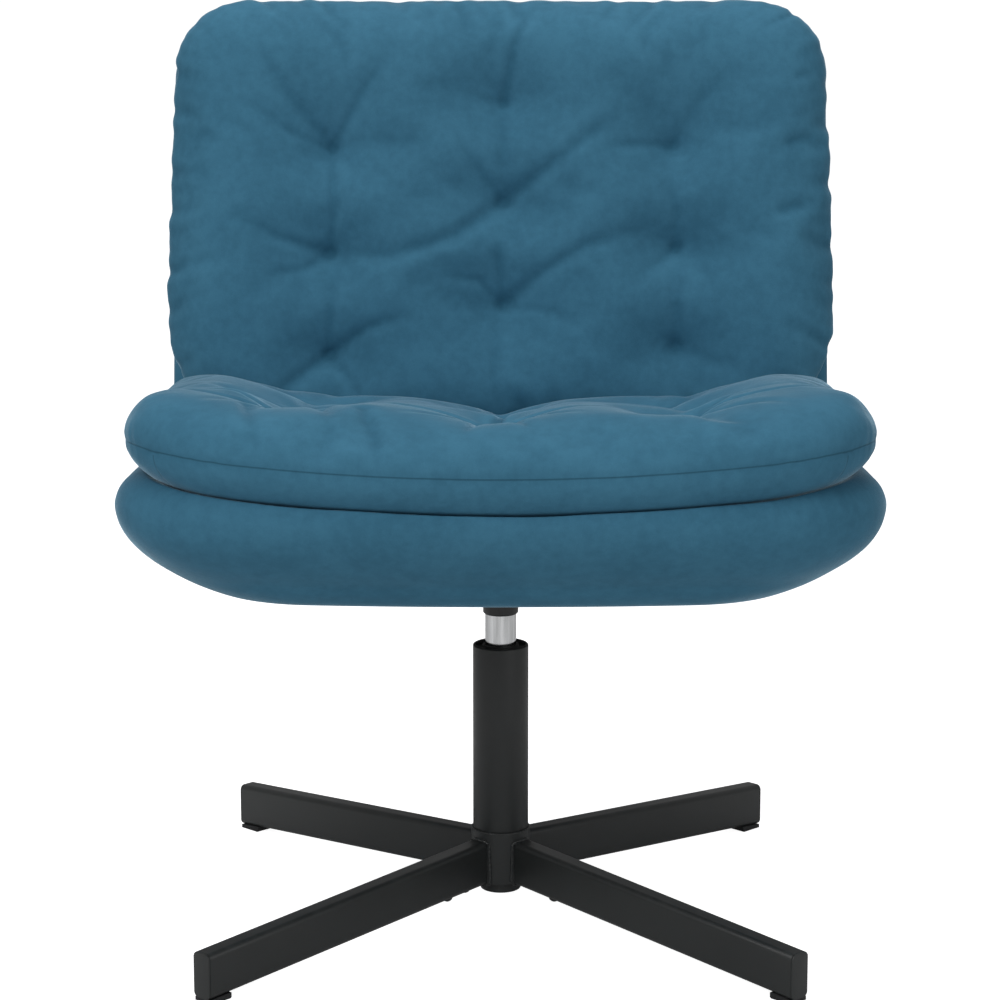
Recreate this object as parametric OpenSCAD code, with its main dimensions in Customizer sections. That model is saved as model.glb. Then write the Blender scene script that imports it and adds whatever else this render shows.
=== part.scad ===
// Swivel lounge chair: tufted seat and back pads on an upholstered shell,
// carried by a gas column on a four-legged base. Millimetres, +Z up, +Y to the back.
// The origin is on the floor, on the swivel axis.

/* [Base] */
// Swivel axis to a leg's tip
leg_reach = 354; // [290:1:430]
// Leg tube's width
leg_w = 20; // [16:1:26]
// Leg tube's height
leg_h = 40; // [32:1:48]
// Leg tube's wall
leg_wall = 1.5; // [1.2:0.1:3]
// Leg tube's corner radius
leg_corner_r = 5; // [3:0.5:7]
// Height of the legs' top edge at the swivel axis
leg_crown = 71; // [60:1:90]
// Radius of the fillet between neighbouring legs
web_r = 18; // [12:1:24]
// End cap's flange thickness
cap_t = 2; // [1:0.5:4]
// How far the end cap's plug goes into the tube
cap_plug = 10; // [6:1:12]
// Glide's thickness at the leg's tip
glide_t = 3.5; // [2.5:0.5:8]
// Glide's length along the leg
glide_len = 24; // [18:1:40]
// Hub's outer radius at its top
hub_r_top = 27; // [26:0.5:34]
// Hub's outer radius at its bottom
hub_r_bottom = 25.4; // [24.5:0.5:32]

/* [Column] */
// Stand tube's outer radius
tube_r = 25; // [24.9:0.1:26]
// Stand tube's wall
tube_wall = 2; // [1.5:0.1:2.5]
// Height of the stand tube's rim
tube_top = 247.6; // [230:0.5:300]
// How far the stand tube's foot stands out below the hub
neck_len = 10.4; // [6:0.1:11]
// Guide bush's length
bush_len = 76; // [50:1:80]
// Gas cylinder's outer radius
cyl_r = 14; // [11.5:0.1:17]
// Gas cylinder's wall
cyl_wall = 1.4; // [1:0.1:2]
// Piston rod's radius
rod_r = 5; // [4.5:0.5:6]
// Number of balls in the thrust bearing
ball_count = 10; // [6:1:12]
// Radius of a ball
ball_r = 2.1; // [1.6:0.1:2.4]
// Gap between the stand tube's rim and the socket as the chair stands
lift_gap = 28.1; // [10:0.5:90]

/* [Seat fitting] */
// Wall of the socket that takes the cylinder's taper
socket_wall = 1.85; // [1.5:0.05:4]
// Socket's length
socket_len = 21.3; // [18:0.5:22]
// Seat's tilt, front edge up, degrees
seat_tilt = 5; // [3:0.5:6]
// Height of the seat's underside at the swivel axis, above the socket's lower end
seat_rise = 40.3; // [39:0.5:60]
// Width of the mounting plate
plate_w = 190; // [170:1:260]
// Depth of the mounting plate
plate_d = 220; // [200:1:260]
// Thickness of the mounting plate
plate_t = 3; // [2:0.5:4]
// Bolt spacing from side to side
bolt_dx = 150; // [130:1:160]
// Bolt spacing from front to back
bolt_dy = 180; // [150:1:190]
// Lever's pivot to the swivel axis
lever_arm = 35; // [28:1:45]
// Lever's length from the swivel axis to the end of its grip
lever_reach = 215; // [180:1:220]

/* [Upholstery] */
// Half the shell's width
shell_hw = 322; // [300:1:390]
// Shell's front to the swivel axis
shell_front = 327; // [300:1:350]
// Shell's back to the swivel axis
shell_back = 252; // [240:1:280]
// Seat shell's thickness
shell_t = 109; // [95:1:125]
// Half the seat pad's width
pad_hw = 310; // [290:1:370]
// Seat pad's front to the swivel axis
pad_front = 340; // [310:1:360]
// Seat pad's back to the swivel axis
pad_back = 117; // [100:1:125]
// How much higher the seat pad lies at its sides than along its middle
pad_dish = 17; // [8:1:22]
// Seat pad's thickness
pad_t = 70; // [60:1:90]
// Half the back's width
back_hw = 314; // [290:1:340]
// Back's height along its slope, from the seat line
back_len = 371; // [320:1:460]
// Back's recline from vertical, degrees
back_recline = 14; // [10:0.5:18]
// Back shell's thickness
back_shell_t = 42; // [40:1:60]
// Back pad's thickness
back_pad_t = 80; // [60:1:90]
// Fabric's thickness with its lining
cover_t = 2; // [1.5:0.5:3]
// Plywood's thickness in the seat
board_t = 15; // [12:1:18]
// Plywood's thickness in the back
back_board_t = 12; // [9:1:12]

/* [Hidden] */
$fn = 64;
soft_fn = 24;
far = 2000;
fit = 0.05;        // between a shaft and its bore, and between pressed pieces
gap = 0.3;         // between pieces that pass each other
soft_gap = 0.6;    // between one upholstered piece and the next

// base
leg_tip_top = glide_t + leg_h;
leg_slope = atan((leg_crown - leg_tip_top) / leg_reach);
leg_drop = leg_h / cos(leg_slope);
leg_angles = [45, 135, 225, 315];
hub_bottom = leg_crown - hub_r_bottom * tan(leg_slope) - leg_drop;
hub_top = leg_crown + 5;
glide_w = leg_w - 1;
glide_stem_r = 4;
glide_stem_len = 9;
glide_inset = leg_reach - cap_t - cap_plug - glide_stem_r - 2;
web_lip = 0.4;

// column
tube_bottom = hub_bottom - neck_len;
taper = 1.4321;                     // half angle of the column's taper, degrees
taper_len = hub_top - hub_bottom;
taper_r_top = tube_r - 0.4;
taper_r_bottom = taper_r_top - taper_len * tan(taper);
neck_r = 18.5;
neck_wall = 2;
floor_z = tube_bottom + 5.5;        // underside of the stand tube's inner floor
floor_t = 2.5;
floor_hole_r = 8;
race_t = 1.5;
race_r = 15.5;
ball_pitch_r = 11;
ball_gap = 0.15;
race_low_z = floor_z + floor_t;
ball_z = race_low_z + race_t + ball_r + ball_gap;
race_high_z = ball_z + ball_r + ball_gap;
bumper_z = race_high_z + race_t;
bumper_t = 9;
bumper_r = 12;
rod_neck_r = rod_r - 1;
clip_t = 1.6;
washer_t = 1.5;
rod_washer_z = floor_z - gap - washer_t;
clip_z = rod_washer_z - clip_t;
rod_bottom = clip_z - 1.2;
stroke = 100;                        // the whole travel of the gas spring
lift_down = 25;                      // how far the seat can still go down
cyl_bottom = bumper_z + bumper_t + 2 + lift_down;
seal_t = 12;
piston_t = 15;
piston_z = cyl_bottom + seal_t + stroke - lift_down + 2;
socket_bottom = tube_top + lift_gap;
cyl_top = socket_bottom + socket_len + 0.5;
cyl_top_r = cyl_r - (cyl_top - socket_bottom) * tan(1.75);
valve_t = 15;
pin_r = 2.5;
pin_top = cyl_top + 3.5;
bush_top = tube_top - 2.5;
collar_r = cyl_r + 3;
rim_r = 1.5;
foot_r = 1.9;

// seat fitting
socket_r = cyl_r + socket_wall;
seat_z = socket_bottom + seat_rise;
channel_w = 64;
channel_len = 120;
channel_t = 2.5;
channel_z = socket_bottom + 17.3;
bracket_t = 2.5;
bracket_gap = 8.6;
lever_r = 3;
lever_z = pin_top + gap + lever_r;
lever_low = 10;                      // how far the grip lies below the lever's inner end
grip_len = 65;
pivot_r = 2;
bolt_r = 4;
bolt_hole_r = 4.3;
bolt_head_h = 5.3;
bolt_washer_t = 1.6;
bolt_len = 17;
tee_flange_r = 11;
tee_barrel_r = 4.9 + 0.1;
tee_t = 1.6;

// upholstery
dust_t = 0.6;
board_w = 380;
board_front = 205;
board_back = 180;
floor_hw = 219;                      // half width of the shell's flat underside
bilge = [[22, 46], [48, 14]];        // how far the shell's side draws in at two heights
floor_front = 226;
floor_back = 196;
shell_edge_r = 30;
shell_corner_r = 120;
shell_bow = 22;
pad_edge_r = pad_t / 2;
pad_corner_r = 105;
pad_bow = 24;
pad_mid_z = shell_t - 25 + pad_edge_r;
pad_side_z = pad_mid_z + pad_dish;
fold = back_recline - seat_tilt;
back_y = 193;                        // the plane between back shell and back pad, at the seat line
back_z = shell_t + 32;
back_low = 62;                       // how far the back goes on below the seat line
back_edge_r = 20;
back_pad_edge_r = back_pad_t / 2 - 1;
back_corner_r = 66;
back_board_w = 470;
back_board_low = 10;
back_board_len = 320;
back_board_y = 16;
strap_w = 40;
strap_t = 5;
strap_x = 150;
strap_up = 120;
strap_start = 60;
strap_clear = 0.2;
screw_r = 3;
screw_head_r = 6;
screw_head_h = 3;

// ---------------------------------------------------------------- shared shapes

module rounded_rect(w, h, r) {
    square([w - 2 * r, h], center = true);
    square([w, h - 2 * r], center = true);
    for (x = [-1, 1], y = [-1, 1])
        translate([x * (w / 2 - r), y * (h / 2 - r)]) circle(r);
}

// a flat ring between two radii, standing on z
module ring(inner, outer, z, t) {
    translate([0, 0, z]) difference() {
        cylinder(r = outer, h = t);
        translate([0, 0, -1]) cylinder(r = inner, h = t + 2);
    }
}

module on_each_leg() {
    for (a = leg_angles) rotate(a) children();
}

// the seat's own frame: its origin is on the swivel axis, on the shell's underside
module in_seat() {
    translate([0, 0, seat_z]) rotate([-seat_tilt, 0, 0]) children();
}

// the back's own frame: y = 0 is the plane between back shell and back pad
module in_back() {
    in_seat() translate([0, back_y, back_z]) rotate([-fold, 0, 0]) children();
}

// a ring or disc with a round rim of radius edge, whose outermost radius is r
module torus(r, edge) {
    rotate_extrude($fn = soft_fn) intersection() {
        translate([r - edge, 0]) circle(edge, $fn = soft_fn);
        translate([0, -edge]) square([r, 2 * edge]);
    }
}

// ---------------------------------------------------------------- base

// a bar of the leg's section, shrunk by inset, from x0 to x1 with upright ends
module leg_bar(inset, x0, x1) {
    intersection() {
        translate([0, 0, leg_crown]) rotate([0, leg_slope, 0])
            translate([-far / 2, 0, -leg_h / 2]) rotate([90, 0, 90])
                linear_extrude(far)
                    rounded_rect(leg_w - 2 * inset, leg_h - 2 * inset, leg_corner_r - inset);
        translate([x0, -far / 2, -far / 2]) cube([x1 - x0, far, far]);
    }
}

module hub_cone(extra) {
    translate([0, 0, hub_bottom])
        cylinder(r1 = hub_r_bottom + extra, r2 = hub_r_top + extra, h = hub_top - hub_bottom);
}

module glide_stem(extra) {
    translate([glide_inset, 0, glide_t / 2])
        cylinder(r = glide_stem_r + extra, h = glide_stem_len + glide_t / 2);
}

module leg(angle) {
    color("#26292a") rotate(angle) difference() {
        leg_bar(0, 0, leg_reach - cap_t);
        leg_bar(leg_wall, 0, leg_reach);
        hub_cone(fit);
        glide_stem(0.1);
    }
}

module base_hub() {
    web_z = leg_crown - hub_r_top * tan(leg_slope) - leg_drop + 2;
    web_top = leg_crown - hub_r_top * tan(leg_slope) - 1.5;
    color("#26292a") difference() {
        union() {
            hub_cone(0);
            for (a = leg_angles) rotate(a) translate([0, 0, web_z])
                linear_extrude(web_top - web_z) difference() {
                    translate([leg_w / 2 + fit, leg_w / 2 + fit]) square(web_r);
                    translate([leg_w / 2 + web_r, leg_w / 2 + web_r]) circle(web_r - web_lip);
                    translate([leg_w / 2 + web_r, leg_w / 2 + web_r]) square(web_r);
                }
        }
        translate([0, 0, hub_bottom - 1]) cylinder(
            r1 = taper_r_bottom + fit - tan(taper), r2 = taper_r_top + fit + tan(taper),
            h = taper_len + 2);
    }
}

module leg_end_caps() {
    color("#1d1f20") on_each_leg() {
        leg_bar(0, leg_reach - cap_t, leg_reach);
        leg_bar(leg_wall + 0.1, leg_reach - cap_t - cap_plug, leg_reach - cap_t);
    }
}

// the pad under each tip: level below, sloped above to the leg's underside
module floor_glides() {
    chamfer = 1.2;
    color("#141516") on_each_leg() {
        difference() {
            translate([leg_reach - glide_len - 1, 0, 0]) rotate([90, 0, 0])
                translate([0, 0, -glide_w / 2]) linear_extrude(glide_w) polygon([
                    [chamfer, 0], [glide_len, 0], [glide_len, leg_h / 2],
                    [0, leg_h / 2], [0, chamfer]]);
            translate([0, 0, leg_crown]) rotate([0, leg_slope, 0])
                translate([0, -far / 2, -leg_h]) cube([far, far, leg_h * 2]);
        }
        difference() {
            glide_stem(0);
            translate([0, 0, -far]) cube([far, far, 2 * (far + glide_t / 2)], center = true);
        }
    }
}

// ---------------------------------------------------------------- column

module stand_tube() {
    inner_r = tube_r - tube_wall;
    shoulder_z = hub_bottom;
    rim = [for (a = [0 : 15 : 90])
        [tube_r - rim_r + rim_r * cos(a), tube_top - rim_r + rim_r * sin(a)]];
    foot = [for (a = [-90 : 15 : 0])
        [neck_r - foot_r + foot_r * cos(a), tube_bottom + foot_r + foot_r * sin(a)]];
    color("#2b2d2e") rotate_extrude() polygon(concat(
        foot,
        [[neck_r, shoulder_z - 2], [taper_r_bottom, shoulder_z],
         [taper_r_top, hub_top], [tube_r, hub_top + 1.2]],
        rim,
        [[inner_r, tube_top], [inner_r, hub_top + 2],
         [taper_r_top - tube_wall, hub_top - 1],
         [taper_r_bottom - tube_wall, shoulder_z + 1.6],
         [neck_r - 1.5, shoulder_z - 0.2], [neck_r - 1.5, race_low_z],
         [floor_hole_r, race_low_z], [floor_hole_r, floor_z],
         [neck_r - neck_wall, floor_z], [neck_r - neck_wall, tube_bottom]]));
}

module guide_bush() {
    bush_r = tube_r - tube_wall - fit;
    collar_h = 2.2;
    color("#1b1c1d") rotate_extrude() polygon([
        [cyl_r + fit, bush_top - bush_len], [bush_r, bush_top - bush_len],
        [bush_r, bush_top], [collar_r, bush_top], [collar_r - 0.8, bush_top + collar_h],
        [cyl_r + fit, bush_top + collar_h]]);
}

module lower_bearing_race() {
    color("silver") ring(floor_hole_r - 1.5, race_r, race_low_z, race_t);
}

module ball_cage() {
    cage_t = 1.9;
    color("goldenrod") difference() {
        ring(ball_pitch_r - 3, ball_pitch_r + 3, ball_z - cage_t / 2, cage_t);
        for (i = [0 : ball_count - 1]) rotate(i * 360 / ball_count)
            translate([ball_pitch_r, 0, ball_z - cage_t]) cylinder(r = ball_r + 0.15, h = 2 * cage_t);
    }
}

module bearing_balls() {
    color("silver") for (i = [0 : ball_count - 1]) rotate(i * 360 / ball_count)
        translate([ball_pitch_r, 0, ball_z]) sphere(ball_r);
}

module upper_bearing_race() {
    color("silver") ring(rod_neck_r + fit, race_r, race_high_z, race_t);
}

module rubber_bumper() {
    color("#202020") ring(rod_r + fit, bumper_r, bumper_z + fit, bumper_t - fit);
}

module piston_rod() {
    groove_r = rod_neck_r - 0.9;
    color("silver") rotate_extrude() polygon([
        [0, rod_bottom], [rod_neck_r - 0.5, rod_bottom], [rod_neck_r, rod_bottom + 0.5],
        [rod_neck_r, clip_z], [groove_r, clip_z], [groove_r, clip_z + clip_t],
        [rod_neck_r, clip_z + clip_t], [rod_neck_r, bumper_z], [rod_r, bumper_z],
        [rod_r, piston_z], [rod_neck_r, piston_z], [rod_neck_r, piston_z + piston_t + 2],
        [0, piston_z + piston_t + 2]]);
}

module gas_piston() {
    color("#8d9092") difference() {
        ring(rod_neck_r + fit, cyl_r - cyl_wall - 0.1, piston_z, piston_t);
        ring(cyl_r - cyl_wall - 1.8, cyl_r, piston_z + piston_t / 2 - 1.6, 3.2);
    }
}

module piston_seal() {
    color("#101010")
        ring(cyl_r - cyl_wall - 1.7, cyl_r - cyl_wall - fit, piston_z + piston_t / 2 - 1.5, 3);
}

module rod_washer() {
    color("silver") ring(rod_neck_r + fit, 12, rod_washer_z, washer_t);
}

// an open retaining ring in the rod's groove
module rod_clip() {
    color("#3a3a3a") difference() {
        ring(rod_neck_r - 0.8, rod_neck_r + 2.6, clip_z + fit, clip_t - 2 * fit);
        translate([0, -2.5, clip_z - 1]) cube([20, 5, clip_t + 2]);
    }
}

module gas_cylinder() {
    bore_r = cyl_r - cyl_wall;
    color("gainsboro") rotate_extrude() polygon([
        [bore_r, cyl_bottom], [cyl_r - 0.6, cyl_bottom], [cyl_r, cyl_bottom + 0.6],
        [cyl_r, socket_bottom], [cyl_top_r, cyl_top - 0.5], [cyl_top_r - 0.5, cyl_top],
        [pin_r + 3, cyl_top], [pin_r + 3, cyl_top - 1.5],
        [bore_r - 1, cyl_top - 1.5], [bore_r - 1, cyl_top - valve_t - 2],
        [bore_r, cyl_top - valve_t - 3]]);
}

module rod_guide() {
    color("#33363a") ring(rod_r + fit, cyl_r - cyl_wall - fit, cyl_bottom + fit, seal_t);
}

module valve_block() {
    color("#b08d3c")
        ring(pin_r + fit, cyl_r - cyl_wall - 1 - fit, cyl_top - 1.5 - fit - valve_t, valve_t);
}

module release_pin() {
    color("#c0392b") rotate_extrude() polygon([
        [0, cyl_top - valve_t - 6], [pin_r + 1.2, cyl_top - valve_t - 6],
        [pin_r + 1.2, cyl_top - valve_t - 2.2], [pin_r, cyl_top - valve_t - 2.2],
        [pin_r, pin_top - 0.6], [pin_r - 0.6, pin_top], [0, pin_top]]);
}

// ---------------------------------------------------------------- seat fitting

module taper_socket() {
    chamfer = 1.4;
    top = socket_bottom + socket_len;
    top_bore = cyl_top_r + fit + (cyl_top - 0.5 - top) * tan(1.75);
    color("#222425") rotate_extrude() polygon([
        [cyl_r + fit, socket_bottom], [socket_r - chamfer, socket_bottom],
        [socket_r, socket_bottom + chamfer], [socket_r, top], [top_bore, top]]);
}

// everything above the seat plate's underside
module above_plate() {
    in_seat() translate([-far / 2, -far / 2, -plate_t]) cube(far);
}

module mechanism_channel() {
    color("#222425") difference() {
        translate([-channel_len / 2, -channel_w / 2, channel_z])
            cube([channel_len, channel_w, seat_z - channel_z + channel_w]);
        translate([-channel_len, -channel_w / 2 + channel_t, channel_z + channel_t])
            cube([2 * channel_len, channel_w - 2 * channel_t, far]);
        translate([0, 0, channel_z - 1]) cylinder(r = socket_r + fit, h = channel_t + 2);
        above_plate();
    }
}

module at_bolts() {
    for (x = [-1, 1], y = [-1, 1]) translate([x * bolt_dx / 2, y * bolt_dy / 2, 0]) children();
}

module seat_plate() {
    corner_r = 14;
    color("#222425") in_seat() difference() {
        translate([0, 0, -plate_t]) linear_extrude(plate_t) rounded_rect(plate_w, plate_d, corner_r);
        at_bolts() translate([0, 0, -plate_t - 1]) cylinder(r = bolt_hole_r, h = plate_t + 2);
    }
}

module lever_bracket() {
    ear_z = channel_z + channel_t;
    ear_h = lever_z + 3.2 - ear_z;
    ear_l = 12;
    color("#3a3d3f") difference() {
        translate([lever_arm - ear_l / 2, -bracket_gap / 2 - bracket_t, ear_z])
            cube([ear_l, bracket_gap + 2 * bracket_t, ear_h]);
        translate([lever_arm - ear_l, -bracket_gap / 2, ear_z + 1.5])
            cube([2 * ear_l, bracket_gap, ear_h]);
        translate([lever_arm, 0, lever_z - 1]) rotate([90, 0, 0])
            cylinder(r = pivot_r + fit, h = far, center = true);
    }
}

module lever_pivot_pin() {
    pin_len = bracket_gap + 2 * bracket_t + 3;
    color("silver") translate([lever_arm, 0, lever_z - 1]) rotate([90, 0, 0])
        cylinder(r = pivot_r, h = pin_len, center = true);
}

// a straight length of the lever's rod, from a to b in the XZ plane
module rod_run(a, b) {
    d = b - a;
    translate([a[0], 0, a[1]]) rotate([0, atan2(d[0], d[1]), 0]) cylinder(r = lever_r, h = norm(d));
}

// the fuller knuckle where two runs of the lever's rod meet
module rod_bend(a) {
    translate([a[0], 0, a[1]]) sphere(lever_r + 0.25);
}

module height_lever() {
    bend_1 = [lever_arm + 8, lever_z];
    bend_2 = [lever_arm + 85, lever_z - lever_low];
    tip = [lever_reach - 12, lever_z - lever_low];
    eye = 9;
    color("#1b1c1d") difference() {
        union() {
            rod_run([-lever_r, lever_z], bend_1);
            rod_bend(bend_1);
            rod_run(bend_1, bend_2);
            rod_bend(bend_2);
            rod_run(bend_2, tip);
            translate([lever_arm - eye / 2, -bracket_gap / 2 + gap, lever_z - 1 - eye / 2 + 1])
                cube([eye, bracket_gap - 2 * gap, eye - 2]);
        }
        translate([lever_arm, 0, lever_z - 1]) rotate([90, 0, 0])
            cylinder(r = pivot_r + fit, h = far, center = true);
    }
}

// a flat paddle pushed over the lever's outer end
module lever_grip() {
    z = lever_z - lever_low;
    grip_w = 22;
    grip_t = 9;
    color("#141516") difference() {
        translate([lever_reach - grip_len, 0, z]) rotate([90, 0, 90]) linear_extrude(grip_len)
            rounded_rect(grip_w, grip_t, grip_t / 2 - 0.5);
        translate([lever_reach - grip_len - 1, 0, z]) rotate([0, 90, 0])
            cylinder(r = lever_r + fit, h = grip_len - 12 + lever_r + 1.5);
        for (y = [-1, 1]) translate([lever_reach - grip_len - 1, y * (grip_w / 2 + 2), z - grip_t])
            rotate(y * 8) translate([0, y > 0 ? 0 : -grip_w, 0]) cube([30, grip_w, 2 * grip_t]);
    }
}

module seat_bolts() {
    head_r = 7.5;
    color("#101112") in_seat() at_bolts() {
        translate([0, 0, -plate_t - bolt_washer_t - bolt_head_h]) difference() {
            cylinder(r = head_r, h = bolt_head_h, $fn = 6);
            translate([0, 0, -1]) cylinder(r = 3, h = 2.2);
        }
        translate([0, 0, -plate_t - bolt_washer_t - 0.5]) cylinder(r = bolt_r, h = bolt_len + 0.5);
    }
}

module seat_bolt_washers() {
    color("silver") in_seat() at_bolts()
        ring(bolt_r + 0.2, 9, -plate_t - bolt_washer_t, bolt_washer_t);
}

module tee_nuts() {
    top = dust_t + board_t;
    color("silver") in_seat() at_bolts() difference() {
        union() {
            translate([0, 0, top]) cylinder(r = tee_flange_r, h = tee_t);
            translate([0, 0, top - board_t + 3]) cylinder(r = tee_barrel_r - 0.1, h = board_t - 2);
        }
        translate([0, 0, -1]) cylinder(r = bolt_r + fit, h = top + tee_t + 2);
    }
}

// ---------------------------------------------------------------- seat upholstery

module board_outline() {
    translate([0, (board_back - board_front) / 2])
        rounded_rect(board_w, board_back + board_front, 40);
}

module seat_board() {
    color("burlywood") in_seat() difference() {
        translate([0, 0, dust_t]) linear_extrude(board_t) board_outline();
        at_bolts() translate([0, 0, -1]) cylinder(r = tee_barrel_r, h = board_t + 3);
        strap_screw_places_seat() translate([0, 0, -1]) cylinder(r = screw_r + 0.1, h = far);
    }
}

module dust_cover() {
    color("#17181a") in_seat() difference() {
        linear_extrude(dust_t) board_outline();
        at_bolts() translate([0, 0, -1]) cylinder(r = bolt_r + 0.3, h = 3);
        strap_screw_places_seat() translate([0, 0, -1]) cylinder(r = screw_head_r + 1, h = 3);
    }
}

// the shell's whole form, shrunk by inset: a flat underside and a fat rounded rim
module shell_form(inset) {
    edge = shell_edge_r - inset;
    corner = shell_corner_r - inset;
    rim_z = shell_t - shell_edge_r;
    hull() {
        for (x = [-1, 1]) {
            translate([x * (shell_hw - shell_corner_r), shell_corner_r + shell_bow - shell_front, rim_z])
                torus(corner, edge);
            translate([x * (shell_hw - shell_corner_r), shell_back - shell_corner_r, rim_z])
                torus(corner, edge);
        }
        translate([0, shell_edge_r - shell_front, rim_z]) sphere(edge, $fn = soft_fn);
        for (b = bilge) translate([0, (shell_back - shell_front + shell_bow) / 2, b[0]])
            linear_extrude(1) rounded_rect(
                2 * (shell_hw - b[1] - inset),
                shell_back + shell_front - shell_bow - 2 * (b[1] + inset), shell_corner_r - b[1]);
        translate([0, (floor_back - floor_front) / 2, inset]) linear_extrude(1)
            rounded_rect(2 * (floor_hw - inset), floor_front + floor_back - 2 * inset, 60);
    }
}

// half of the seat pad, side is -1 or 1; grow makes it larger all round
module pad_half(side, grow) {
    edge = pad_edge_r + grow;
    corner = pad_corner_r + grow;
    x = side * (pad_hw - pad_corner_r);
    hull() {
        translate([x, pad_corner_r + pad_bow - pad_front, pad_side_z]) torus(corner, edge);
        translate([x, pad_back - pad_corner_r, pad_side_z]) torus(corner, edge);
        translate([0, pad_edge_r - pad_front, pad_mid_z]) sphere(edge, $fn = soft_fn);
        translate([0, pad_back - pad_edge_r, pad_mid_z]) sphere(edge, $fn = soft_fn);
    }
}

module pad_form(grow) {
    for (side = [-1, 1]) pad_half(side, grow);
}

module seat_fittings_space() {
    translate([0, 0, -1]) linear_extrude(board_t + dust_t + 1) board_outline();
    at_bolts() cylinder(r = tee_flange_r + 0.5, h = dust_t + board_t + tee_t + 4);
    strap_screw_places_seat() cylinder(r = screw_head_r, h = dust_t + board_t + strap_t + 6);
}

module seat_shell_foam() {
    color("khaki") difference() {
        in_seat() difference() {
            shell_form(cover_t);
            pad_form(cover_t + soft_gap);
            seat_fittings_space();
        }
        straps(strap_clear);
    }
}

module seat_shell_cover() {
    color("#2f6480") difference() {
        in_seat() difference() {
            shell_form(0);
            difference() {
                shell_form(cover_t);
                pad_form(cover_t + soft_gap);
            }
            pad_form(soft_gap);
            translate([0, 0, -1]) linear_extrude(board_t + dust_t + 1) board_outline();
        }
        straps(strap_clear);
    }
}

module seat_pad_foam() {
    color("khaki") in_seat() pad_form(-cover_t);
}

module seat_pad_cover() {
    color("#2f6480") in_seat() difference() {
        pad_form(0);
        pad_form(-cover_t);
    }
}

// ---------------------------------------------------------------- back

// where a strap's two runs meet, in the seat's frame, and how far below the back's origin that is
strap_seat_z = dust_t + board_t + strap_t / 2;
strap_back_y = back_board_y + back_board_t + strap_t / 2;
strap_drop = (back_z - strap_back_y * sin(fold) - strap_seat_z) / cos(fold);
strap_knee = [back_y + strap_back_y * cos(fold) - strap_drop * sin(fold), strap_seat_z];

// both straps, made thicker and longer all round by extra
module straps(extra) {
    h = strap_t / 2 + extra;
    up = [sin(fold), cos(fold)];
    n_seat = [0, h];
    n_back = [-h * cos(fold), h * sin(fold)];
    mitre = (n_seat + n_back) / (1 + n_seat * n_back / (h * h));
    start = [strap_start - extra, strap_seat_z];
    end = strap_knee + up * (strap_drop + strap_up + extra);
    w = strap_w + 2 * extra;
    in_seat() for (x = [-strap_x, strap_x]) translate([x - w / 2, 0, 0]) rotate([90, 0, 90])
        linear_extrude(w) polygon([start - n_seat, strap_knee - mitre, end - n_back,
                                   end + n_back, strap_knee + mitre, start + n_seat]);
}

module strap_screw_places_seat() {
    for (x = [-strap_x, strap_x], y = [strap_start + 25, strap_start + 95]) translate([x, y, 0]) children();
}

module strap_screw_places_back() {
    for (x = [-strap_x, strap_x], z = [35, 95]) translate([x, 0, z]) children();
}

module back_straps() {
    color("#4a4d50") difference() {
        straps(0);
        in_seat() strap_screw_places_seat() cylinder(r = screw_r + 0.1, h = 60);
        in_back() strap_screw_places_back() rotate([-90, 0, 0]) cylinder(r = screw_r + 0.1, h = 60);
    }
}

module strap_screws() {
    seat_grip = board_t + strap_t;
    back_grip = back_board_t + strap_t;
    color("#6d7073") {
        in_seat() strap_screw_places_seat() {
            translate([0, 0, dust_t]) cylinder(r = screw_r, h = seat_grip);
            translate([0, 0, dust_t + seat_grip]) cylinder(r = screw_head_r - 0.5, h = screw_head_h);
        }
        in_back() strap_screw_places_back() translate([0, back_board_y, 0]) rotate([-90, 0, 0]) {
            cylinder(r = screw_r, h = back_grip);
            translate([0, 0, back_grip]) cylinder(r = screw_head_r - 0.5, h = screw_head_h);
        }
    }
}

module back_board_slab(extra) {
    w = back_board_w + 2 * extra;
    h = back_board_len + 2 * extra;
    translate([0, back_board_y - extra, back_board_low + back_board_len / 2]) rotate([-90, 0, 0])
        linear_extrude(back_board_t + 2 * extra) rounded_rect(w, h, 40);
}

module back_board() {
    color("burlywood") in_back() difference() {
        back_board_slab(0);
        strap_screw_places_back() rotate([-90, 0, 0]) cylinder(r = screw_r + 0.1, h = 60);
    }
}

// a slab of the back between y0 and y1, shrunk by inset, with round edges
module back_slab(y0, y1, edge, half_w, inset) {
    r = edge - inset;
    corner = back_corner_r - inset;
    mid = [y0 + edge, y1 - edge];
    top = back_len - back_corner_r;
    hull() for (x = [-1, 1], y = mid) {
        translate([x * (half_w - back_corner_r), y, top]) rotate([90, 0, 0]) torus(corner, r);
        translate([x * (half_w - back_corner_r), y, -back_low + back_corner_r])
            rotate([90, 0, 0]) torus(corner, r);
    }
}

// what the seat takes of the back's space
module seat_space() {
    in_seat() {
        shell_form(-soft_gap);
        pad_form(soft_gap);
    }
}

module back_shell_form(inset) {
    back_slab(soft_gap, back_shell_t, back_edge_r, back_hw - 1, inset);
}

module back_pad_form(inset) {
    back_slab(-back_pad_t, 0, back_pad_edge_r, back_hw, inset);
}

module back_screw_space() {
    strap_screw_places_back() translate([0, back_board_y, 0]) rotate([-90, 0, 0])
        cylinder(r = screw_head_r, h = back_board_t + strap_t + screw_head_h + 1);
}

module back_shell_foam() {
    color("khaki") difference() {
        in_back() difference() {
            back_shell_form(cover_t);
            back_board_slab(strap_clear);
            back_screw_space();
        }
        seat_space();
        straps(strap_clear);
    }
}

module back_shell_cover() {
    color("#2f6480") difference() {
        in_back() difference() {
            back_shell_form(0);
            back_shell_form(cover_t);
        }
        seat_space();
        straps(strap_clear);
    }
}

module back_pad_foam() {
    color("khaki") difference() {
        in_back() back_pad_form(cover_t);
        seat_space();
    }
}

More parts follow.
